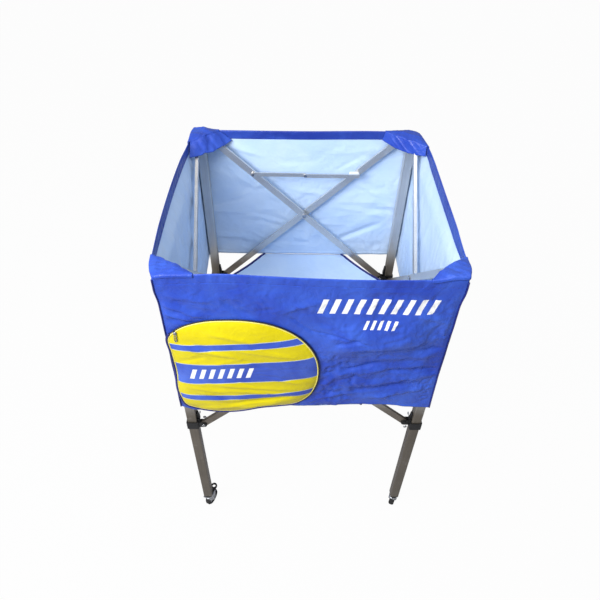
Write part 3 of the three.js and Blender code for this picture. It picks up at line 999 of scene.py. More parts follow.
@dataclass(frozen=True)
class BasketSizes:
    """Sizes that the whole basket shares, counted from its centre line. The corner seams lie
    wide under the corner pocket, close to the leg below it and a little wider at the foot, and
    each change of theirs is given as its height and the height over which it happens."""

    centre: tuple[float, float]
    top: float
    foot: float
    floor: float
    hem: float = 0.025
    hem_thick: float = 0.0026
    cloth_thick: float = 0.0010
    seam_top: float = 0.3082
    seam_middle: float = 0.3052
    seam_foot: float = 0.3072
    pocket_change: tuple[float, float] = (0.905, 0.045)
    foot_change: tuple[float, float] = (0.68, 0.14)
    keep: float = 0.278

    @property
    def depth(self) -> float:
        """Depth of the walls."""
        return self.top - self.foot

    def seam(self, z: Array) -> Array:
        """Distance of the corner seams from the centre lines at each height.

        Args:
            z: heights.

        Returns:
            Distances, in metres.
        """
        upper = ease((z - self.pocket_change[0]) / self.pocket_change[1])
        lower = ease((self.foot_change[0] - z) / self.foot_change[1])
        return (
            self.seam_middle
            + (self.seam_top - self.seam_middle) * upper
            + (self.seam_foot - self.seam_middle) * lower
        )

    def place(self, side: Side, along: Array, out: Array, z: Array) -> Array:
        """Points on a side of the basket.

        Args:
            side: which side.
            along: places to the right of the side's middle.
            out: distances from the basket's centre line.
            z: heights.

        Returns:
            Array of points, last axis x, y, z.
        """
        along, out, z = np.broadcast_arrays(along, out, z)
        points = along[..., None] * side.along + out[..., None] * side.outward
        points = points + np.array((*self.centre, 0.0))
        points[..., 2] = z
        return points


# Half the rim's length, where the tables of the sides end
HALF = 0.3055

# Distance of each side's rim from the centre line, at places to the right of its middle
RIM = {
    Side.FRONT: (
        (-HALF, 0.3082), (-0.262, 0.3080), (-0.20, 0.3074), (-0.05, 0.3072), (0.10, 0.3072),
        (0.20, 0.3074), (0.262, 0.3080), (HALF, 0.3092),
    ),
    Side.REAR: (
        (-HALF, 0.3082), (-0.15, 0.3078), (0.0, 0.3074), (0.15, 0.3078), (HALF, 0.3082),
    ),
    Side.LEFT: (
        (-HALF, 0.3095), (-0.28, 0.3120), (-0.20, 0.3165), (-0.13, 0.3205), (-0.03, 0.3235),
        (0.07, 0.3240), (0.15, 0.3230), (0.244, 0.3205), (0.266, 0.3185), (0.290, 0.3130),
        (HALF, 0.3082),
    ),
    Side.RIGHT: (
        (-HALF, 0.3092), (-0.284, 0.3140), (-0.15, 0.3180), (0.0, 0.3200), (0.15, 0.3222),
        (0.223, 0.3235), (0.266, 0.3150), (HALF, 0.3075),
    ),
}

# Height of each side's rim above its lowest level, at places to the right of its middle
RISE = {
    Side.FRONT: (
        (-HALF, 0.0060), (-0.24, 0.0115), (-0.18, 0.0138), (-0.10, 0.0100), (0.0, 0.0045),
        (0.14, 0.0014), (0.22, 0.0028), (HALF, 0.0050),
    ),
    Side.REAR: ((-HALF, 0.0040), (-0.20, 0.0055), (0.0, 0.0025), (HALF, 0.0020)),
    Side.LEFT: ((-HALF, 0.0020), (0.0, 0.0040), (0.20, 0.0050), (HALF, 0.0060)),
    Side.RIGHT: ((-HALF, 0.0050), (0.0, 0.0040), (HALF, 0.0040)),
}

# Height of each wall's foot, at places to the right of its middle
FOOT = {
    Side.FRONT: (
        (-HALF, 0.5560), (-0.297, 0.5520), (-0.267, 0.5414), (-0.2326, 0.5383),
        (-0.1954, 0.5378), (-0.160, 0.5445), (-0.122, 0.5580), (-0.063, 0.5620),
        (0.0134, 0.5592), (0.085, 0.5645), (0.168, 0.5685), (0.221, 0.5638), (0.269, 0.5565),
        (HALF, 0.5550),
    ),
    Side.REAR: (
        (-HALF, 0.5465), (-0.15, 0.5445), (0.0, 0.5460), (0.15, 0.5445), (HALF, 0.5465),
    ),
    Side.LEFT: (
        (-HALF, 0.5465), (-0.15, 0.5455), (0.0, 0.5470), (0.15, 0.5490), (HALF, 0.5560),
    ),
    Side.RIGHT: (
        (-HALF, 0.5550), (-0.15, 0.5490), (0.0, 0.5470), (0.15, 0.5455), (HALF, 0.5465),
    ),
}


# Single folds of the front wall: start and end as places along and heights, height and width
FRONT_FOLDS = (
    (-0.295, 0.905, -0.215, 0.868, 0.0030, 0.008), (-0.298, 0.880, -0.200, 0.850, 0.0034, 0.008),
    (-0.290, 0.862, -0.215, 0.842, -0.0030, 0.008), (-0.285, 0.930, -0.200, 0.915, 0.0018, 0.010),
    (-0.175, 0.915, -0.115, 0.860, -0.0030, 0.013), (-0.060, 0.890, 0.010, 0.915, 0.0020, 0.012),
    (-0.040, 0.872, 0.010, 0.828, -0.0022, 0.005), (0.012, 0.832, 0.072, 0.822, -0.0020, 0.003),
    (0.072, 0.822, 0.128, 0.806, -0.0020, 0.003), (0.075, 0.945, 0.120, 0.958, 0.0020, 0.006),
    (0.125, 0.945, 0.240, 0.950, 0.0020, 0.006), (0.060, 0.800, 0.110, 0.815, -0.0026, 0.007),
    (0.130, 0.788, 0.250, 0.800, 0.0020, 0.012), (0.060, 0.790, 0.240, 0.820, 0.0110, 0.060),
    (0.130, 0.742, 0.270, 0.755, 0.0022, 0.014), (0.090, 0.705, 0.160, 0.728, -0.0030, 0.008),
    (0.100, 0.690, 0.255, 0.722, 0.0026, 0.014), (0.180, 0.700, 0.290, 0.706, -0.0026, 0.008),
    (0.130, 0.648, 0.270, 0.680, 0.0028, 0.014), (0.120, 0.626, 0.250, 0.650, -0.0030, 0.009),
    (0.150, 0.598, 0.280, 0.636, 0.0028, 0.013), (0.040, 0.600, 0.120, 0.618, 0.0022, 0.010),
    (0.030, 0.640, 0.080, 0.690, 0.0018, 0.010), (0.230, 0.880, 0.292, 0.860, 0.0018, 0.008),
    (0.240, 0.770, 0.296, 0.778, -0.0022, 0.007),
)

# Single folds of the round pocket, with places counted from its middle
POCKET_FOLDS = (
    (-0.03, -0.118, 0.10, -0.092, -0.0044, 0.010), (-0.02, -0.140, 0.07, -0.118, 0.0040, 0.009),
    (-0.12, -0.150, -0.02, -0.128, 0.0034, 0.010), (-0.06, -0.045, 0.09, -0.060, 0.0020, 0.007),
    (-0.05, -0.066, 0.10, -0.078, 0.0020, 0.006), (-0.13, -0.060, -0.05, -0.072, 0.0020, 0.006),
    (-0.13, -0.085, -0.03, -0.098, -0.0020, 0.007), (-0.12, 0.075, -0.02, 0.055, 0.0024, 0.009),
    (-0.06, 0.120, 0.02, 0.100, 0.0020, 0.008), (0.00, 0.072, 0.11, 0.052, 0.0020, 0.008),
    (-0.10, 0.020, 0.02, 0.030, 0.0018, 0.010), (0.06, -0.02, 0.12, -0.04, 0.0016, 0.006),
    (-0.14, 0.030, -0.09, 0.050, -0.0020, 0.007),
)


@dataclass(frozen=True)
class PocketEdge:
    """The round pocket's edge on the front wall: nearly a circle, drawn out to the corner seam
    on the left and down to the wall's foot."""

    middle: tuple[float, float] = (-0.1400, 0.7100)
    knots: Knots = (
        (0.220, 0.1643), (0.492, 0.1620), (0.805, 0.1596), (1.147, 0.1564), (1.475, 0.1557),
        (1.789, 0.1605), (2.126, 0.1750), (2.404, 0.1876), (2.572, 0.1900), (2.798, 0.1705),
        (3.265, 0.1600), (3.734, 0.1930), (3.891, 0.2060), (4.035, 0.1990), (4.242, 0.1862),
        (4.507, 0.1700), (4.933, 0.1515), (5.214, 0.1600), (5.426, 0.1740), (5.659, 0.1780),
        (5.919, 0.1728), (6.187, 0.1673),
    )

    def radius(self, angle: Array) -> Array:
        """Radius of the edge at each angle: a smooth curve through the knots that meets itself
        after a full turn.

        Args:
            angle: from the right, counter-clockwise.

        Returns:
            Radii, in metres.
        """
        before = [(a - FULL_TURN, r) for a, r in self.knots[-2:]]
        after = [(a + FULL_TURN, r) for a, r in self.knots[:2]]
        return through_knots(np.mod(angle, FULL_TURN), (*before, *self.knots, *after))

    def beyond(self, along: Array, z: Array) -> Array:
        """Distance outside the edge on the line from its middle, negative inside it."""
        a, b = along - self.middle[0], z - self.middle[1]
        return np.hypot(a, b) - self.radius(np.arctan2(b, a))


@dataclass
class Wall:
    """One wall of the basket: a sheet with a hem folded over its top and a narrow hem at its
    foot, outside royal and inside pale. Its relief is folds, broad waves and crumples, which
    lie in patches and are calmer over the print and near the foot."""

    side: Side
    sizes: BasketSizes
    body: str
    anchor: Point
    folds: list[Crease]
    belly: float
    spacing: float
    calm: PocketEdge | None = None
    vigour: float = 1.0
    crush: float = 0.0008
    lean: float = 0.0
    seed: int = 1
    plane: float = 0.3072
    turn_in: float = 0.055
    wave: float = 0.0012
    wave_length: float = 0.23
    crush_length: float = 0.085
    crush_squeeze: float = 1.25
    slack_length: float = 0.33
    print_foot: float = 0.845
    pocket_calm: float = 0.12
    pucker: float = 0.0005
    pucker_length: float = 0.03
    seam_dent: float = 0.0006
    seam_dent_width: float = 0.0011
    stitch_inset: float = 0.0035
    foot_hem: float = 0.0075
    foot_hem_edge: float = 0.0095
    foot_hem_thick: float = 0.0006
    thick_change: float = 0.0016
    slack: float = 0.002
    seam_fade: float = 0.05
    hem_fade: float = 0.02
    calm_fade: float = 0.02
    edge_fade: float = 0.03
    corner_reach: float = 0.045
    lean_reach: float = 0.74
    lip: float = 0.003
    corner_steps: tuple[float, ...] = (0.0035, 0.009, 0.016)

    def rows(self) -> Array:
        """Places at which the wall has a row of points: even ones, and closer ones round the
        edge of each hem.

        Returns:
            Drops below the rim, in metres, rising.
        """
        depth = self.sizes.depth
        even = np.arange(0.0, depth, self.spacing)
        hem = self.sizes.hem + np.arange(-0.006, 0.0041, 0.0010)
        foot = depth - 0.009 + np.arange(-0.002, 0.0021, 0.0010)
        drops = np.unique(np.round(np.concatenate([even, hem, foot, [depth]]), 5))
        return drops[np.concatenate([[True], np.diff(drops) > 0.0004])]

    def relief(self, s: Array, along: Array, z: Array, drop: Array) -> Array:
        """Offset of the cloth out of its smooth surface: folds, waves and crumples away from
        the corner seams, a dent along each hem's stitches and puckers in the upper hem.

        Args:
            s: share of the width, -1 to 1, for each column.
            along: places to the right of the middle.
            z: heights.
            drop: drop below the rim for each row.

        Returns:
            Offsets, in metres.
        """
        hem, depth = self.sizes.hem, self.sizes.depth
        loose = ease((1 - np.abs(s)) / self.seam_fade) * ease((drop - hem) / self.hem_fade)
        if self.calm is not None:
            away = ease(self.calm.beyond(along, z) / self.calm_fade)
            loose = loose * at_least(self.pocket_calm, away)
        waves = self.wave * ripple(along, z, self.seed, self.wave_length)
        slack = ease(0.5 + 0.9 * ripple(along, z, self.seed + 60, self.slack_length, 3))
        under_print = ease((self.print_foot - z) / self.edge_fade)
        above_foot = ease((depth - drop) / self.edge_fade)
        slack = at_least(0.25, slack) * at_least(0.45, under_print) * at_least(0.3, above_foot)
        crumples = crumpled(along, z * self.crush_squeeze, self.seed + 50, self.crush_length)
        waves = waves + self.crush * slack * crumples
        folds = self.vigour * fold_field(along, z, self.folds)
        hem_dent = np.exp(-(((drop - hem + self.stitch_inset) / self.seam_dent_width) ** 2))
        foot_dent = np.exp(-(((drop - depth + self.foot_hem) / self.seam_dent_width) ** 2))
        hem_band = ease((hem - drop) / 0.004) * ease(drop / 0.004)
        pucker = self.pucker * ripple(along, z, self.seed + 90, self.pucker_length, 4)
        return loose * (folds + waves) - self.seam_dent * (hem_dent + foot_dent) + pucker * hem_band

    def surface(self, s: Array, drop: Array) -> tuple[Array, Array, Array]:
        """Outer skin: the rim's curve at the top eases into the wall's plane, which bellies out
        like half a sine both ways. The relief is added, the hem's top leans, and the seams pull
        every row to the shared corner line.

        Args:
            s: share of the width, -1 to 1, for each column.
            drop: drop below the rim for each row.

        Returns:
            Place along, distance out and height of each point.
        """
        sizes = self.sizes
        top = sizes.top + through_knots(s * HALF, RISE[self.side])
        foot = through_knots(s * HALF, FOOT[self.side])
        share = drop / sizes.depth
        z = top - share * (top - foot)
        seam = sizes.seam(z)
        along = s * seam
        near_top = ease(1.0 - (drop - sizes.hem * 0.8) / self.turn_in)
        plane = bellied(self.plane, self.belly, s, share)
        out = through_knots(along, RIM[self.side]) * near_top + plane * (1 - near_top)
        out = out + self.relief(s, along, z, drop)
        hem_share = 1 - np.clip(drop / sizes.hem, 0, 1)
        tipped = ease((self.lean_reach - np.abs(s)) / 0.3) * hem_share
        out = out + self.lean * tipped
        corner = ease((np.abs(s) - (1 - self.corner_reach)) / self.corner_reach)
        return along, out * (1 - corner) + seam * corner, z

    def build(self, finishes: Finishes) -> bpy.types.Object:
        """Args:
            finishes: the cart's materials.

        Returns:
            The wall's object.
        """
        sizes, label = self.sizes, self.side.label
        drop = self.rows()[:, None]
        s = np.linspace(-1.0, 1.0, int(round(2 * HALF / self.spacing)) + 1)
        extra = 1.0 - np.array(self.corner_steps) / HALF
        s = np.unique(np.concatenate([s, extra, -extra]))[None, :]
        along, out, z = self.surface(s, drop)
        change = self.thick_change
        thick = sizes.cloth_thick + (sizes.hem_thick - sizes.cloth_thick) * ease(
            (sizes.hem + change / 2 - drop) / change
        )
        foot_edge = sizes.depth - self.foot_hem_edge
        thick = thick + self.foot_hem_thick * ease((drop - foot_edge) / change)
        thick = np.broadcast_to(thick, out.shape)
        lip = thick / 2 * (1 - ease(drop / self.lip)) * 0.85
        seam = sizes.seam(z)
        outer = sizes.place(self.side, along, out - lip, z)
        inner = sizes.place(self.side, along * (seam - thick) / seam, out - thick + lip, z)
        points, quads, zones, uv = shell_arrays(outer, inner, np.stack([along, z], -1))
        middle = np.tile(np.broadcast_to(drop, out.shape).ravel(), 2)[quads].mean(axis=1)
        # quads: 0 outside, 1 pale inside, 2 inner face of the top hem in the darker royal that is
        # painted shade
        index = np.where(zones == 1, np.where(middle > sizes.hem + 0.0002, 1, 2), 0)
        outside = finishes.printed if self.side is Side.FRONT else finishes.royal
        obj = quad_object(f"cloth_wall_{label}", points, quads,
                          [outside, finishes.pale, finishes.hem_inside_painted_shade], index, uv)
        declare(obj, self.body, f"wall_{label}")
        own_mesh(obj)
        return obj

    def corners(self) -> tuple[str, str]:
        """Names of the two corners at the wall's ends.

        Returns:
            The left or front corner, then the right or rear one.
        """
        label = self.side.label
        if self.side in (Side.FRONT, Side.REAR):
            return f"{label}_left", f"{label}_right"
        return f"front_{label}", f"rear_{label}"


@dataclass
class Floor:
    """One half of the basket's floor: a sheet from the middle fold to its wall, with the outer
    corners cut off in a hollow curve that a navy binding follows. It sags a little, rises
    outside a broad arc and slopes down to its hinge at the wall."""

    side: Side
    sizes: BasketSizes
    cut: Knots = ((0.0, 0.3045), (0.135, 0.3045), (0.150, 0.2720), (0.191, 0.2260),
                  (0.240, 0.1790), (0.305, 0.1270))
    seed: int = 5
    hinge_out: float = 0.3052
    hinge_level: float = 0.5432
    hinge_slope: float = 0.27
    held_x: float = -0.3000
    keep: float = 0.259
    half: float = 0.31
    sag: float = 0.004
    arc_rise: float = 0.005
    arc: tuple[float, float, float] = (0.318, 2.1, 0.05)
    flat_edge: tuple[float, float] = (0.306, 0.02)
    wave: float = 0.0010
    wave_length: float = 0.16
    soften: float = 0.004
    foot_slope: float = 1.7
    rear_reach: float = 0.0012
    binding_radius: float = 0.0042

    def half_width(self, out: Array) -> Array:
        """Half the width at each distance from the fold: the cut, capped at its start."""
        return np.minimum(through_knots(out, self.cut), self.cut[0][1])

    def height(self, along: Array, out: Array) -> Array:
        """Height: the lower of the soft floor and the slope down to the hinge, with a small
        parabola where they meet.

        Args:
            along: places to the right of the middle.
            out: distances from the middle fold.

        Returns:
            Heights, in metres.
        """
        across = np.cos(np.clip(np.abs(along) / self.half, 0, 1) * math.pi / 2)
        sag = self.sag * across * np.cos(np.clip(out / self.half, 0, 1) * math.pi / 2)
        arc = ease((out - (self.arc[0] - self.arc[1] * along**2)) / self.arc[2])
        edge = ease((self.flat_edge[0] - out) / self.flat_edge[1])
        waves = self.wave * ripple(along, out, self.seed, self.wave_length) * edge
        plain = self.sizes.floor - sag * edge + self.arc_rise * arc * edge + waves
        slope = self.hinge_level + np.maximum(self.hinge_out - out, 0.0) * self.hinge_slope
        both = np.clip((slope - plain) / self.soften + 0.5, 0.0, 1.0)
        return slope + both * (plain - slope) + self.soften / 2 * both * (both - 1.0)

    def end(self, along: Array) -> Array:
        """Distance of the floor's edge from the middle fold: at the rear wall's cloth, and at
        the front further in where the wall's foot is higher, so that the wall hides the edge.

        Args:
            along: places to the right of the middle.

        Returns:
            Distances, in metres.
        """
        if self.side is Side.REAR:
            return np.full(np.shape(along), self.hinge_out + self.rear_reach)
        foot = through_knots(along, FOOT[self.side])
        return self.hinge_out - np.maximum((foot - self.hinge_level) / self.foot_slope, 0.0)

    def build(self, finishes: Finishes) -> list[bpy.types.Object]:
        """Make the half floor and its two bindings.

        Args:
            finishes: the cart's materials.

        Returns:
            The cloth, then the bindings.
        """
        sizes, label = self.sizes, self.side.label
        s = np.linspace(-1.0, 1.0, 121)[None, :]
        last = self.end(s * self.half_width(np.array([[self.hinge_out]])))
        out = np.linspace(0.0, 1.0, 78)[:, None] * last
        along = s * self.half_width(out)
        upper = sizes.place(self.side, along, out, self.height(along, out))
        points, quads, zones, uv = shell_arrays(
            upper, upper - sizes.cloth_thick * UP, np.stack(np.broadcast_arrays(along, out), -1)
        )
        obj = quad_object(f"cloth_floor_{label}", points, quads,
                          [finishes.pale, finishes.royal], np.minimum(zones, 1), uv)
        declare(obj, f"floor_{label}", f"floor_{label}")
        bindings = [self.binding(finishes, sign) for sign in (-1.0, 1.0)]
        for piece in (obj, *bindings):
            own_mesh(piece)
        return [obj, *bindings]

    def binding(self, finishes: Finishes, sign: float) -> bpy.types.Object:
        """Navy binding along one cut: a soft round bar of folded tape on the cut's curve.

        Args:
            finishes: the cart's materials.
            sign: -1 for the left cut and 1 for the right one, as seen from outside.

        Returns:
            The binding's object.
        """
        rings, corners, flatness = 70, 12, 0.8
        last = self.end(sign * self.half_width(np.array([self.hinge_out])))
        out = np.linspace(self.cut[1][0], float(last[0]), rings)
        along = sign * self.half_width(out)
        z = self.height(along, out) - self.sizes.cloth_thick / 2
        path = self.sizes.place(self.side, along, out, z)
        points, faces, uv = tube_arrays(path, np.full(rings, self.binding_radius), corners, UP)
        levels = np.repeat(z, corners)
        points[:, 2] = levels + (points[:, 2] - levels) * flatness
        name = f"floor_binding_{self.side.label}_{'left' if sign < 0 else 'right'}"
        obj = poly_object(name, points, faces, finishes.navy, uv)
        declare(obj, f"floor_{self.side.label}")
        return obj


@dataclass
class CornerPocket:
    """A pocket of royal cloth over a leg's cap: an outer skirt on both sides, a soft roof, and
    on the inside a skirt that hangs from the slanted edge."""

    corner: Corner
    sizes: BasketSizes
    reach: tuple[float, float]
    radius: float
    lift: float
    puff: float
    fall: float
    flare: float
    inner_drop: float
    seed: int
    outer_drop: float = 0.0040
    end_lift: float = 0.0015
    bow: float = 0.0020
    edge: float = 0.0030
    thick: float = 0.0010
    base: float = 0.3103
    gap: float = 0.0021
    inset: float = 0.0075
    straighten: float = 0.012
    tuck: float = 0.0006
    full_width: float = 0.05
    crown: tuple[float, float] = (0.16, 0.30)
    end_hang: float = 0.72
    wave: float = 0.0016
    roof_length: float = 0.05
    skirt_length: float = 0.045
    lap: float = 0.004
    columns: int = 97

    def sides(self) -> tuple[Side, Side]:
        """The front or rear side, then the left or right side, that meet here."""
        sx, sy = self.corner.signs
        return (Side.FRONT if sy < 0 else Side.REAR), (Side.LEFT if sx < 0 else Side.RIGHT)

    def outline(self, t: Array) -> tuple[Array, Array, Array, Array]:
        """Plan of the outer edge and of the slanted edge. The outer edge runs along one side,
        round the corner on a quarter circle and along the other side, and follows both rims'
        curves a little outside them. The slanted edge is the line between the ends, bowed a
        little into the basket. The skirt spreads away from the corner, along each rim at its
        ends and across in the middle.

        Args:
            t: share of the way, 0 to 1.

        Returns:
            Outer and inner points, relative to the basket's centre, last axis x, y; the
            direction in which the skirt spreads; and the rim's height below each place.
        """
        sx, sy = self.corner.signs
        first, second = self.sides()
        (ra, rb), r, base = self.reach, self.radius, self.base
        arc = r * math.pi / 2
        way = t * ((ra - r) + arc + (rb - r))
        turn = np.clip((way - (ra - r)) / arc, 0, 1) * math.pi / 2
        a = np.where(way < ra - r, ra - way, r - r * np.sin(turn))
        b = np.where(way > ra - r + arc, way - (ra - r) - arc + r, r - r * np.cos(turn))
        x, y = sx * (base - a), sy * (base - b)
        bow_a = through_knots(x * first.along[0], RIM[first]) + self.gap - base
        bow_b = through_knots(y * second.along[1], RIM[second]) + self.gap - base
        fade_a, fade_b = (ease(v / (r + self.straighten)) for v in (a, b))
        outer = np.stack([x + sx * bow_b * fade_b, y + sy * bow_a * fade_a], -1)
        end_a = np.array((sx * (base - ra), outer[0, 1] - sy * self.inset))
        end_b = np.array((outer[-1, 0] - sx * self.inset, sy * (base - rb)))
        share = ease(t * 0.5 + 0.25)
        share = np.clip((share - share[0]) / (share[-1] - share[0]), 0, 1)
        inner = end_a + (end_b - end_a) * share[:, None]
        inner = inner - np.array((sx, sy)) * self.bow * np.sin(share * math.pi)[:, None]
        spread = np.stack([-sx * (1 - share), -sy * share], -1)
        turn_over = ease((t - 0.5) / 0.2 + 0.5)
        rim = self.sizes.top + (1 - turn_over) * through_knots(
            x * first.along[0], RISE[first]
        ) + turn_over * through_knots(y * second.along[1], RISE[second])
        return outer, inner, spread, rim

    def build(self, finishes: Finishes) -> bpy.types.Object:
        """Make the pocket: one profile, from the outer skirt's foot over the roof to the inner
        skirt's foot, carried along the outline.

        Args:
            finishes: the cart's materials.

        Returns:
            The pocket's object.
        """
        label, middle = self.corner.label, self.columns // 2
        t = np.linspace(0.0, 1.0, self.columns)
        outer, inner, spread, rim = self.outline(t)
        span = inner - outer
        width = np.maximum(np.linalg.norm(span, axis=1), 1e-6)
        step = span / width[:, None]
        e = np.minimum(self.edge, width * 0.35)
        swell = ease(width / self.full_width)
        crown = 1.0 - ease((np.abs(t - 0.5) - self.crown[0]) / self.crown[1])
        tip = rim + self.end_lift + (self.lift - self.end_lift) * crown
        lip = tip - self.fall * swell
        hang = self.inner_drop * at_least(self.end_hang, swell) - e
        quarter = np.linspace(0.0, math.pi / 2, 6)
        rows = [(0 * e - self.tuck * k, tip - e - self.outer_drop * k, 0.0) for k in (1.0, 0.5)]
        rows += [(e * (1 - math.cos(q)), tip - e + e * math.sin(q), 0.0) for q in quarter]
        for k in np.linspace(0.0, 1.0, 19)[1:-1]:
            arch = 4 * k * (1 - k)
            rows.append((e + (width - 2 * e) * k,
                         tip + swell * (self.puff * arch - self.fall * k), 0.0))
        rows += [(width - e * (1 - math.cos(q)), lip - e + e * math.sin(q), 0.0)
                 for q in quarter[::-1]]
        rows += [(width, lip - e - hang * k, self.flare * k**0.8)
                 for k in np.linspace(0.0, 1.0, 14)[1:]]
        across, z, slide = (np.stack([row[i] for row in rows]) for i in range(3))
        plan = outer[None] + step[None] * across[..., None] + spread * slide[:, None, None]
        a, b = plan[..., 0], plan[..., 1]
        row_share = np.linspace(0, 1, len(rows))[:, None]
        slack = ease(swell)[None, :] * ease((row_share - 0.06) / 0.1)
        z = z + self.wave * slack * ripple(a, b, self.seed, self.roof_length, 6)
        shove = self.wave * slack * ripple(a + z, b - z, self.seed + 7, self.skirt_length, 5)
        plan = plan + step[None] * (shove * ease((row_share - 0.5) / 0.2))[..., None]
        points = np.concatenate([plan + np.array(self.sizes.centre), z[..., None]], -1)
        normal = grid_normals(points)
        facing = 1.0 if float(normal[16, middle, 2]) > 0 else -1.0
        way_t, way_r = (
            np.concatenate([[0], np.cumsum(np.linalg.norm(np.diff(line, axis=0), axis=1))])
            for line in (outer, points[:, middle])
        )
        vertices, quads, _, uv = shell_arrays(
            points, points - normal * facing * self.thick,
            np.stack(np.broadcast_arrays(way_t[None, :], way_r[:, None]), -1)
        )
        obj = quad_object(f"pocket_cover_{label}", vertices,
                          quads if facing > 0 else quads[:, ::-1], [finishes.royal], uv=uv)
        declare(obj, f"stand_{label}", f"corner_pocket_{label}")
        return obj


@dataclass
class RoundPocket:
    """The round zipped pocket on the front wall: a soft dome of yellow cloth with straight blue
    bands, a pale piping inside its edge and a dark zip round it."""

    sizes: BasketSizes
    anchor: Point
    edge: PocketEdge = PocketEdge()
    bulge: float = 0.0135
    zip_start: float = -0.80
    zip_end: float = 2.50
    welt_gap: float = 0.02
    wall_plane: float = 0.3074
    wall_belly: float = 0.0035
    cloth_out: float = 0.0022
    back_out: float = 0.0007
    rings: int = 64
    edge_rings: int = 22
    segments: int = 256
    zip_teeth: int = 330

    def wall_at(self, along: Array, z: Array) -> Array:
        """Distance of the front wall from the centre line behind the pocket."""
        share = (self.sizes.top - z) / self.sizes.depth
        return bellied(self.wall_plane, self.wall_belly, along / HALF, share)

    def folds(self, a: Array, b: Array) -> Array:
        """Folds in the pocket's cloth: gathered lines that fan out over the lower half, a deep
        one near the foot and a few long soft ones above.

        Args:
            a: place from the middle.
            b: height from the middle.

        Returns:
            Offsets, in metres.
        """
        patch = Crumple(31, 34, (0.0, -0.03), (0.14, 0.12), (0.03, 0.09), (-8.0, 18.0), 0.0013,
                        (0.003, 0.007))
        return fold_field(a, b, creases_from(POCKET_FOLDS) + patch.creases())

    def build(self, finishes: Finishes) -> list[bpy.types.Object]:
        """Make the dome, the piping, the zip, the welt and the pull.

        Args:
            finishes: the cart's materials.

        Returns:
            The five objects.
        """
        dome = self.dome(finishes)
        piping = self.ring("round_pocket_piping", (0.0, FULL_TURN), -0.0022, 0.0016, 0.0034,
                           finishes.cord_yellow)
        tape = self.ring("round_pocket_zip", (self.zip_start, self.zip_end), 0.0008, 0.0017,
                         0.0026, finishes.zip_tape, self.zip_teeth)
        rest = (self.zip_end + self.welt_gap, FULL_TURN + self.zip_start - self.welt_gap)
        welt = self.ring("round_pocket_welt", rest, 0.0020, 0.0030, 0.0030, finishes.navy)
        pull = self.pull(finishes)
        nodes = {dome: "ball_pocket", pull: "zip_pull"}
        pieces = [dome, piping, tape, welt, pull]
        for piece in pieces:
            declare(piece, "stand_front_left", nodes.get(piece))
            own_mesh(piece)
        return pieces

    def dome(self, finishes: Finishes) -> bpy.types.Object:
        """The pocket's cloth: a closed disc of rings, crowned at the front and flat behind.

        Args:
            finishes: the cart's materials.

        Returns:
            The dome's object.
        """
        inner = np.linspace(0.02, 0.86, self.rings - self.edge_rings)
        share = np.concatenate([inner, 1 - np.linspace(0.135, 0, self.edge_rings) ** 1.15])
        share = share / share[-1]
        angle = np.linspace(0.0, FULL_TURN, self.segments, endpoint=False)
        rho = share[:, None] * self.edge.radius(angle)[None, :]
        a, b = rho * np.cos(angle), rho * np.sin(angle)
        along, z = self.edge.middle[0] + a, self.edge.middle[1] + b
        profile = 1 - share[:, None] ** 5
        rise = self.bulge * profile ** 0.8 * (1.0 + 0.3 * ease(-b / 0.13))
        crumple = self.folds(a, b) * ease((1 - share[:, None]) / 0.10)
        wall = self.wall_at(along, z)
        skins = [wall + self.cloth_out + rise + crumple, wall + self.back_out]
        middle = [np.array(v) for v in self.edge.middle]
        points = [self.sizes.place(Side.FRONT, along, out, z).reshape(-1, 3) for out in skins]
        points += [self.sizes.place(Side.FRONT, middle[0], np.array(out[0].mean()), middle[1])[None]
                   for out in skins]
        n = self.rings * self.segments
        index = np.arange(n).reshape(self.rings, self.segments)
        following = np.roll(index, -1, axis=1)
        quads = [
            np.stack([index[:-1], index[1:], following[1:], following[:-1]], -1),
            np.stack([index[:-1], following[:-1], following[1:], index[1:]], -1) + n,
            np.stack([index[-1], index[-1] + n, following[-1] + n, following[-1]], -1),
        ]
        faces = [tuple(q) for q in np.concatenate([q.reshape(-1, 4) for q in quads]).tolist()]
        inmost = list(zip(index[0].tolist(), following[0].tolist()))
        faces += [(2 * n, p, q) for p, q in inmost]
        faces += [(2 * n + 1, q + n, p + n) for p, q in inmost]
        uv_ring = np.stack([a, b], -1).reshape(-1, 2)
        uv = np.concatenate([uv_ring, uv_ring, [[0.0, 0.0]], [[0.0, 0.0]]])
        return poly_object("round_pocket_cloth", np.concatenate(points), faces, finishes.yellow, uv)

    def ring(self, name: str, span: tuple[float, float], beyond: float, thick: float,
             proud: float, material: bpy.types.Material, teeth: int = 0) -> bpy.types.Object:
        """A cord or zip on the pocket's edge: a bar along the edge curve, whose thickness beats
        once a tooth where it is a zip.

        Args:
            name: the piece's name.
            span: first and last angle.
            beyond: distance outside the edge.
            thick: radius of the bar.
            proud: distance of its middle from the wall.
            material: its finish.
            teeth: number of teeth in a full circle, or 0 for a smooth cord.

        Returns:
            The new object.
        """
        count = int((span[1] - span[0]) / FULL_TURN * (teeth * 4 if teeth else 260))
        angle = np.linspace(*span, count)
        radius = self.edge.radius(angle) + beyond
        along = self.edge.middle[0] + radius * np.cos(angle)
        z = self.edge.middle[1] + radius * np.sin(angle)
        path = self.sizes.place(Side.FRONT, along, self.wall_at(along, z) + proud, z)
        beat = 1 + (0.16 * np.sign(np.sin(angle * teeth)) if teeth else 0.0 * angle)
        points, faces, uv = tube_arrays(path, thick * beat, 8, TO_FRONT)
        return poly_object(name, points, faces, material, uv)

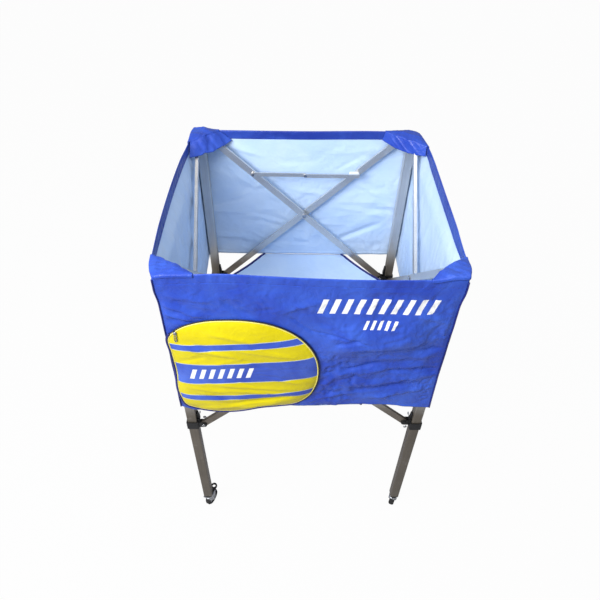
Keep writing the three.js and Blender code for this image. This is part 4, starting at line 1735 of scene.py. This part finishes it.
    def pull(self, finishes: Finishes) -> bpy.types.Object:
        """The zip's slider and its pull: a long loop of wire that hangs over the cloth from a
        round slider at the upper end of the zip.

        Args:
            finishes: the cart's materials.

        Returns:
            The pull's object.
        """
        rings, lean, half_width, half_drop = 41, 0.16, 0.0024, 0.0105
        angle = np.array(self.zip_end - 0.05)
        reach = self.edge.radius(angle) - 0.0035
        along = self.edge.middle[0] + reach * np.cos(angle)
        z = self.edge.middle[1] + reach * np.sin(angle)
        wall = self.wall_at(along, z)
        t = np.linspace(0.0, FULL_TURN, rings)
        drop = half_drop * (1 - np.cos(t))
        loop = self.sizes.place(
            Side.FRONT, along + half_width * np.sin(t), wall + 0.0082 + lean * drop, z - drop
        )
        points, faces, _ = tube_arrays(loop, np.full(rings, 0.0011), 8, np.array((0.0, 1.0, 0.0)))
        head = turned_arrays(
            np.array([(0.0018, 0.0030), (0.0034, 0.0026), (0.0040, 0.0014), (0.0040, -0.0010),
                      (0.0030, -0.0042)]),
            self.sizes.place(Side.FRONT, along, wall + 0.0062, z),
            TO_FRONT, 16,
        )
        all_points, all_faces = joined([(points, faces), head])
        return poly_object("zip_slider_and_pull", all_points, all_faces, finishes.bright)


@dataclass
class Trim:
    """Small pieces: navy piping down each corner seam, and rivet heads on the pivots."""

    sizes: BasketSizes
    pivot_inset: float = 0.028
    leg_half: float = 0.290
    head_out: float = 0.0130
    slider_pivot: float = 0.463
    bracket_pivot: float = 0.963
    cord_radius: float = 0.0017
    cord_out: float = 0.0004
    cord_rings: int = 90
    head_radius: float = 0.0030
    head_rise: float = 0.0012
    brim: Knots = ((0.0042, 0.0008), (0.0046, 0.0004), (0.0046, -0.0004), (0.0020, -0.0006))

    def corner_piping(self, finishes: Finishes, corner: Corner) -> bpy.types.Object:
        """Navy piping down a corner seam: a thin cord along the seam line, just outside it.

        Args:
            finishes: the cart's materials.
            corner: which corner.

        Returns:
            The cord's object.
        """
        sx, sy = corner.signs
        foot = float(FOOT[Side.LEFT if sx < 0 else Side.RIGHT][-1 if sx * sy > 0 else 0][1])
        z = np.linspace(self.sizes.top - 0.001, foot, self.cord_rings)
        out = self.sizes.seam(z) + self.cord_out
        wobble = self.cord_out * ripple(z, z * 0, 70 + int(sx + 2 * sy), 0.09, 5)
        cx, cy = self.sizes.centre
        path = np.stack([cx + sx * (out + wobble), cy + sy * (out - wobble), z], -1)
        points, faces, uv = tube_arrays(path, np.full(self.cord_rings, self.cord_radius), 10,
                                        np.array((sx, sy * 0.2, 0)))
        obj = poly_object(f"corner_piping_{corner.label}", points, faces, finishes.navy, uv)
        declare(obj, f"stand_{corner.label}")
        return obj

    def rivet_heads(self, finishes: Finishes, corner: Corner, z: float, body: str,
                    name: str, faces_out: tuple[float, ...]) -> bpy.types.Object:
        """Domed heads on the pins of a slider or bracket: each a flat brim and a round crown.

        Args:
            finishes: the cart's materials.
            corner: which corner.
            z: height of the pins.
            body: body that carries them.
            name: the piece's name.
            faces_out: 1 for the heads outside, -1 for those inside.

        Returns:
            One object with all the heads.
        """
        sx, sy = corner.signs
        cx, cy = self.sizes.centre
        turn = np.linspace(0.0, math.pi / 2, 7)
        crown = [self.head_radius * np.sin(turn) + 0.0004, 0.0008 + self.head_rise * np.cos(turn)]
        profile = np.concatenate([np.stack(crown, -1), np.array(self.brim)])
        near = self.leg_half - self.pivot_inset
        parts = []
        for way in faces_out:
            far = self.leg_half + way * self.head_out
            heads = ((near, far, (0.0, sy * way, 0.0)), (far, near, (sx * way, 0.0, 0.0)))
            for x, y, axis in heads:
                centre = np.array((cx + sx * x, cy + sy * y, z))
                parts.append(turned_arrays(profile, centre, np.array(axis)))
        points, faces = joined(parts)
        obj = poly_object(name, points, faces, finishes.bright)
        declare(obj, body)
        return obj


@dataclass
class Basket:
    """The whole cloth basket."""

    finishes: Finishes
    sizes: BasketSizes

    def build(self) -> None:
        """Make the walls, floor, pockets and trim, and log each piece."""
        finishes, sizes = self.finishes, self.sizes
        anchor = (float(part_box("wall_front")[0][0]), float(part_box("wall_left")[0][1]), 0.7)
        pieces = [wall.build(finishes) for wall in self.walls(anchor)]
        for side in (Side.FRONT, Side.REAR):
            pieces += Floor(side, sizes).build(finishes)
        pieces += [pocket.build(finishes) for pocket in self.corner_pockets()]
        pieces += RoundPocket(sizes, anchor).build(finishes)
        trim = Trim(sizes)
        for corner in Corner:
            label = corner.label
            pieces.append(trim.corner_piping(finishes, corner))
            pieces.append(trim.rivet_heads(finishes, corner, trim.slider_pivot, f"slider_{label}",
                                           f"slider_rivets_{label}", (1.0, -1.0)))
            pieces.append(trim.rivet_heads(finishes, corner, trim.bracket_pivot, f"stand_{label}",
                                           f"bracket_rivets_{label}", (-1.0,)))
        for piece in pieces:
            LOG.info("piece %s: %d faces", piece.name, len(piece.data.polygons))

    def walls(self, anchor: Point) -> list[Wall]:
        """The four walls with the folds of each.

        Args:
            anchor: the front-left corner, towards which all of them gather.

        Returns:
            The walls.
        """
        front_folds = creases_from(FRONT_FOLDS)
        front_folds += Crumple(11, 60, (-0.05, 0.89), (0.25, 0.05), (0.02, 0.05), (-25, 40),
                               0.0009, (0.004, 0.010)).creases()
        front_folds += Crumple(12, 90, (0.17, 0.70), (0.13, 0.15), (0.02, 0.05), (8, 40),
                               0.0012, (0.004, 0.011)).creases()
        rear_folds = Crumple(21, 60, (0.0, 0.76), (0.28, 0.19), (0.06, 0.20), (8, 22), 0.0020,
                             (0.006, 0.016)).creases()
        rear_folds.append(Crease((-0.235, 0.665), (-0.110, 0.600), 0.0060, 0.012))
        left_folds = Crumple(22, 40, (0.0, 0.76), (0.28, 0.10), (0.12, 0.34), (88, 8), 0.0036,
                             (0.003, 0.009)).creases()
        right_folds = Crumple(23, 34, (0.0, 0.76), (0.28, 0.10), (0.10, 0.30), (92, 9), 0.0016,
                              (0.006, 0.016)).creases()
        s = self.sizes
        return [
            Wall(Side.FRONT, s, "stand_front_left", anchor, front_folds, 0.0035, 0.0030,
                 PocketEdge(), vigour=1.5, crush=0.0044, seed=3),
            Wall(Side.RIGHT, s, "stand_front_right", anchor, right_folds, 0.0040, 0.0042,
                 lean=0.0045, crush=0.0022, seed=4),
            Wall(Side.REAR, s, "stand_rear_left", anchor, rear_folds, 0.0030, 0.0042,
                 crush=0.0022, seed=5),
            Wall(Side.LEFT, s, "stand_front_left", anchor, left_folds, 0.0040, 0.0042,
                 lean=0.0025, crush=0.0022, seed=6),
        ]

    def corner_pockets(self) -> list[CornerPocket]:
        """The four corner pockets, each with its own softness.

        Returns:
            The pockets.
        """
        s = self.sizes
        return [
            CornerPocket(Corner.FRONT_LEFT, s, (0.082, 0.070), 0.012, lift=0.0040, puff=0.003,
                         fall=0.0, flare=0.006, inner_drop=0.040, seed=41),
            CornerPocket(Corner.FRONT_RIGHT, s, (0.074, 0.073), 0.006, lift=0.0100, puff=0.002,
                         fall=0.006, flare=0.004, inner_drop=0.036, seed=42),
            CornerPocket(Corner.REAR_LEFT, s, (0.070, 0.074), 0.006, lift=0.0068, puff=0.001,
                         fall=0.0, flare=0.034, inner_drop=0.040, seed=43, bow=0.0035),
            CornerPocket(Corner.REAR_RIGHT, s, (0.092, 0.086), 0.020, lift=0.0045, puff=0.003,
                         fall=0.0, flare=0.006, inner_drop=0.036, seed=44),
        ]


# Finishes of the rigid pieces


@dataclass
class FrameDress:
    """Gives every carried-over rigid piece its finish."""

    finishes: Finishes

    def dress(self) -> None:
        """Put the right material on every node that stays visible, and log it."""
        joints = frame["record"]["behaviour"]["joints"]
        axles = {j["child"]: j for j in joints if j["name"].startswith("roll")}
        for name, obj in frame["nodes"].items():
            material = self.choose(name, axles)
            obj.data.materials.clear()
            obj.data.materials.append(material)
            LOG.info("finish %s: %s", name, material.name)

    def choose(self, name: str, axles: dict[str, dict]) -> bpy.types.Material:
        """Material of a node by the start of its name.

        Args:
            name: the node's name.
            axles: the rolling joint of each wheel's body.

        Returns:
            The material.
        """
        f = self.finishes
        if name.startswith("wheel_"):
            joint = axles[name]
            return WheelFinish(f"{name}_rubber", tuple(joint["pos_m"]),
                               tuple(joint["axis"])).material()
        starts = {
            "leg_": f.tube, "bar_": f.flat_bar, "stay_end": f.white, "stay_hinge": f.bright,
            "stay_rivet": f.bright, "stay_": f.flat_bar, "centre_rivet": f.bright,
            "caster_fork": f.plated, "caster_socket": f.black, "brake_": f.black,
            "top_bracket": f.black, "slider_": f.black, "latch_": f.black, "zip_pull": f.bright,
            "ball_pocket": f.yellow, "floor_": f.pale, "wall_": f.royal, "corner_": f.royal,
        }
        for start, material in starts.items():
            if name.startswith(start):
                return material
        return f.plated


# Studio


@dataclass
class Studio:
    """White floor, soft lamps and the camera."""

    eye: Point = (-0.0413, -1.0856, 1.6716)
    yaw: float = 1.4186
    pitch: float = 43.910
    roll: float = 1.4948
    focal_pixels: float = 538.81
    picture_width: float = 600.0

    def camera(self) -> None:
        """Camera from its eye and angles: it looks along yaw and down by pitch, and is turned
        about its own axis by roll."""
        data = bpy.data.cameras.new("view")
        data.sensor_width = 36.0
        data.lens = self.focal_pixels / self.picture_width * data.sensor_width
        data.clip_start, data.clip_end = 0.05, 50.0
        yaw, pitch, roll = (math.radians(a) for a in (self.yaw, self.pitch, self.roll))
        ahead = np.array((math.sin(yaw) * math.cos(pitch), math.cos(yaw) * math.cos(pitch),
                          -math.sin(pitch)))
        right = np.array((math.cos(yaw), -math.sin(yaw), 0.0))
        up = np.cross(right, ahead)
        turned_right = math.cos(roll) * right + math.sin(roll) * up
        turned_up = -math.sin(roll) * right + math.cos(roll) * up
        matrix = np.eye(4)
        matrix[:3, 0], matrix[:3, 1], matrix[:3, 2] = turned_right, turned_up, -ahead
        matrix[:3, 3] = self.eye
        obj = bpy.data.objects.new("view", data)
        obj.matrix_world = Matrix(matrix.tolist())
        bpy.context.scene.collection.objects.link(obj)
        bpy.context.scene.camera = obj

    def lamp(self, name: str, place: Point, aim: Point, size: float, power: float) -> None:
        """A square area lamp.

        Args:
            name: its name.
            place: where it stands.
            aim: the point that it faces.
            size: length of its side.
            power: watts.
        """
        data = bpy.data.lights.new(name, "AREA")
        data.size, data.energy = size, power
        obj = bpy.data.objects.new(name, data)
        away = np.array(place) - np.array(aim)
        away /= np.linalg.norm(away)
        side = np.cross((0.0, 0.0, 1.0), away)
        side /= np.linalg.norm(side)
        matrix = np.eye(4)
        matrix[:3, 0], matrix[:3, 1], matrix[:3, 2] = side, np.cross(away, side), away
        matrix[:3, 3] = place
        obj.matrix_world = Matrix(matrix.tolist())
        bpy.context.scene.collection.objects.link(obj)

    def lights(self) -> None:
        """A broad key from the front left, a weaker fill from the right, and a top light."""
        self.lamp("key", (-1.35, -1.35, 2.1), (0.0, 0.0, 0.75), 1.3, 72.0)
        self.lamp("fill", (2.2, -0.6, 1.8), (0.0, 0.0, 0.6), 1.8, 3.0)
        self.lamp("above", (0.2, -0.45, 2.4), (0.0, 0.1, 0.5), 1.2, 10.5)

    def world(self) -> None:
        """Even pale light from all round, and plain white where the camera sees it."""
        world = bpy.data.worlds.new("studio")
        world.use_nodes = True
        tree = world.node_tree
        tree.nodes.clear()
        out, mix, soft, white, path = (
            tree.nodes.new(f"ShaderNode{kind}")
            for kind in ("OutputWorld", "MixShader", "Background", "Background", "LightPath")
        )
        soft.inputs[0].default_value = (0.95, 0.97, 1.0, 1.0)
        soft.inputs[1].default_value = 0.36
        white.inputs[0].default_value = WHITE
        white.inputs[1].default_value = 1.0
        for source, target in ((path.outputs["Is Camera Ray"], mix.inputs[0]),
                               (soft.outputs[0], mix.inputs[1]), (white.outputs[0], mix.inputs[2]),
                               (mix.outputs[0], out.inputs[0])):
            tree.links.new(source, target)
        bpy.context.scene.world = world

    def floor(self) -> None:
        """Pale floor: a wide square whose own white shows through a soft shadow."""
        half = 7.0
        points = half * np.array([(-1, -1, 0), (1, -1, 0), (1, 1, 0), (-1, 1, 0)], float)
        w = Weaver("studio_floor")
        w.shade((0.45, 0.45, 0.46, 1.0), 0.9, Specular_IOR_Level=0.1)
        glow = w.node("Emission", {"Color": WHITE, "Strength": 1.0})
        share = w.product(w.node("LightPath").outputs["Is Camera Ray"], 0.97)
        mix = w.node("MixShader", {0: share, 1: w.shader.outputs[0], 2: glow.outputs[0]})
        w.feed(w.output, {0: mix.outputs[0]})
        poly_object("studio_floor", points, [(0, 1, 2, 3)], w.material)

    def build(self) -> None:
        """Set up everything round the cart."""
        self.camera()
        self.lights()
        self.world()
        self.floor()
        bpy.context.scene.view_settings.view_transform = "Standard"


def basket_sizes() -> BasketSizes:
    """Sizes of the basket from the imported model's boxes.

    Returns:
        The centre line, the rim, the walls' foot and the floor's level.
    """
    (_, _, foot), (_, _, top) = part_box("wall_front")
    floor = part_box("floor_front")[1][2]
    low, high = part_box("leg_front_left")[0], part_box("leg_rear_right")[1]
    centre = (float((low[0] + high[0]) / 2), float((low[1] + high[1]) / 2))
    return BasketSizes(centre, float(top), float(foot), float(floor))


def write_sizes() -> None:
    def plain(box: object) -> list[list[float]]:
        """Two corners as lists of numbers."""
        return [[float(v) for v in corner] for corner in box]


def main() -> None:
    """Build the studio, the basket and the finishes in order."""
    Studio().build()
    finishes = Finishes()
    FrameDress(finishes).dress()
    Basket(finishes, basket_sizes()).build()
    write_sizes()


if __name__ == "__main__":
    main()
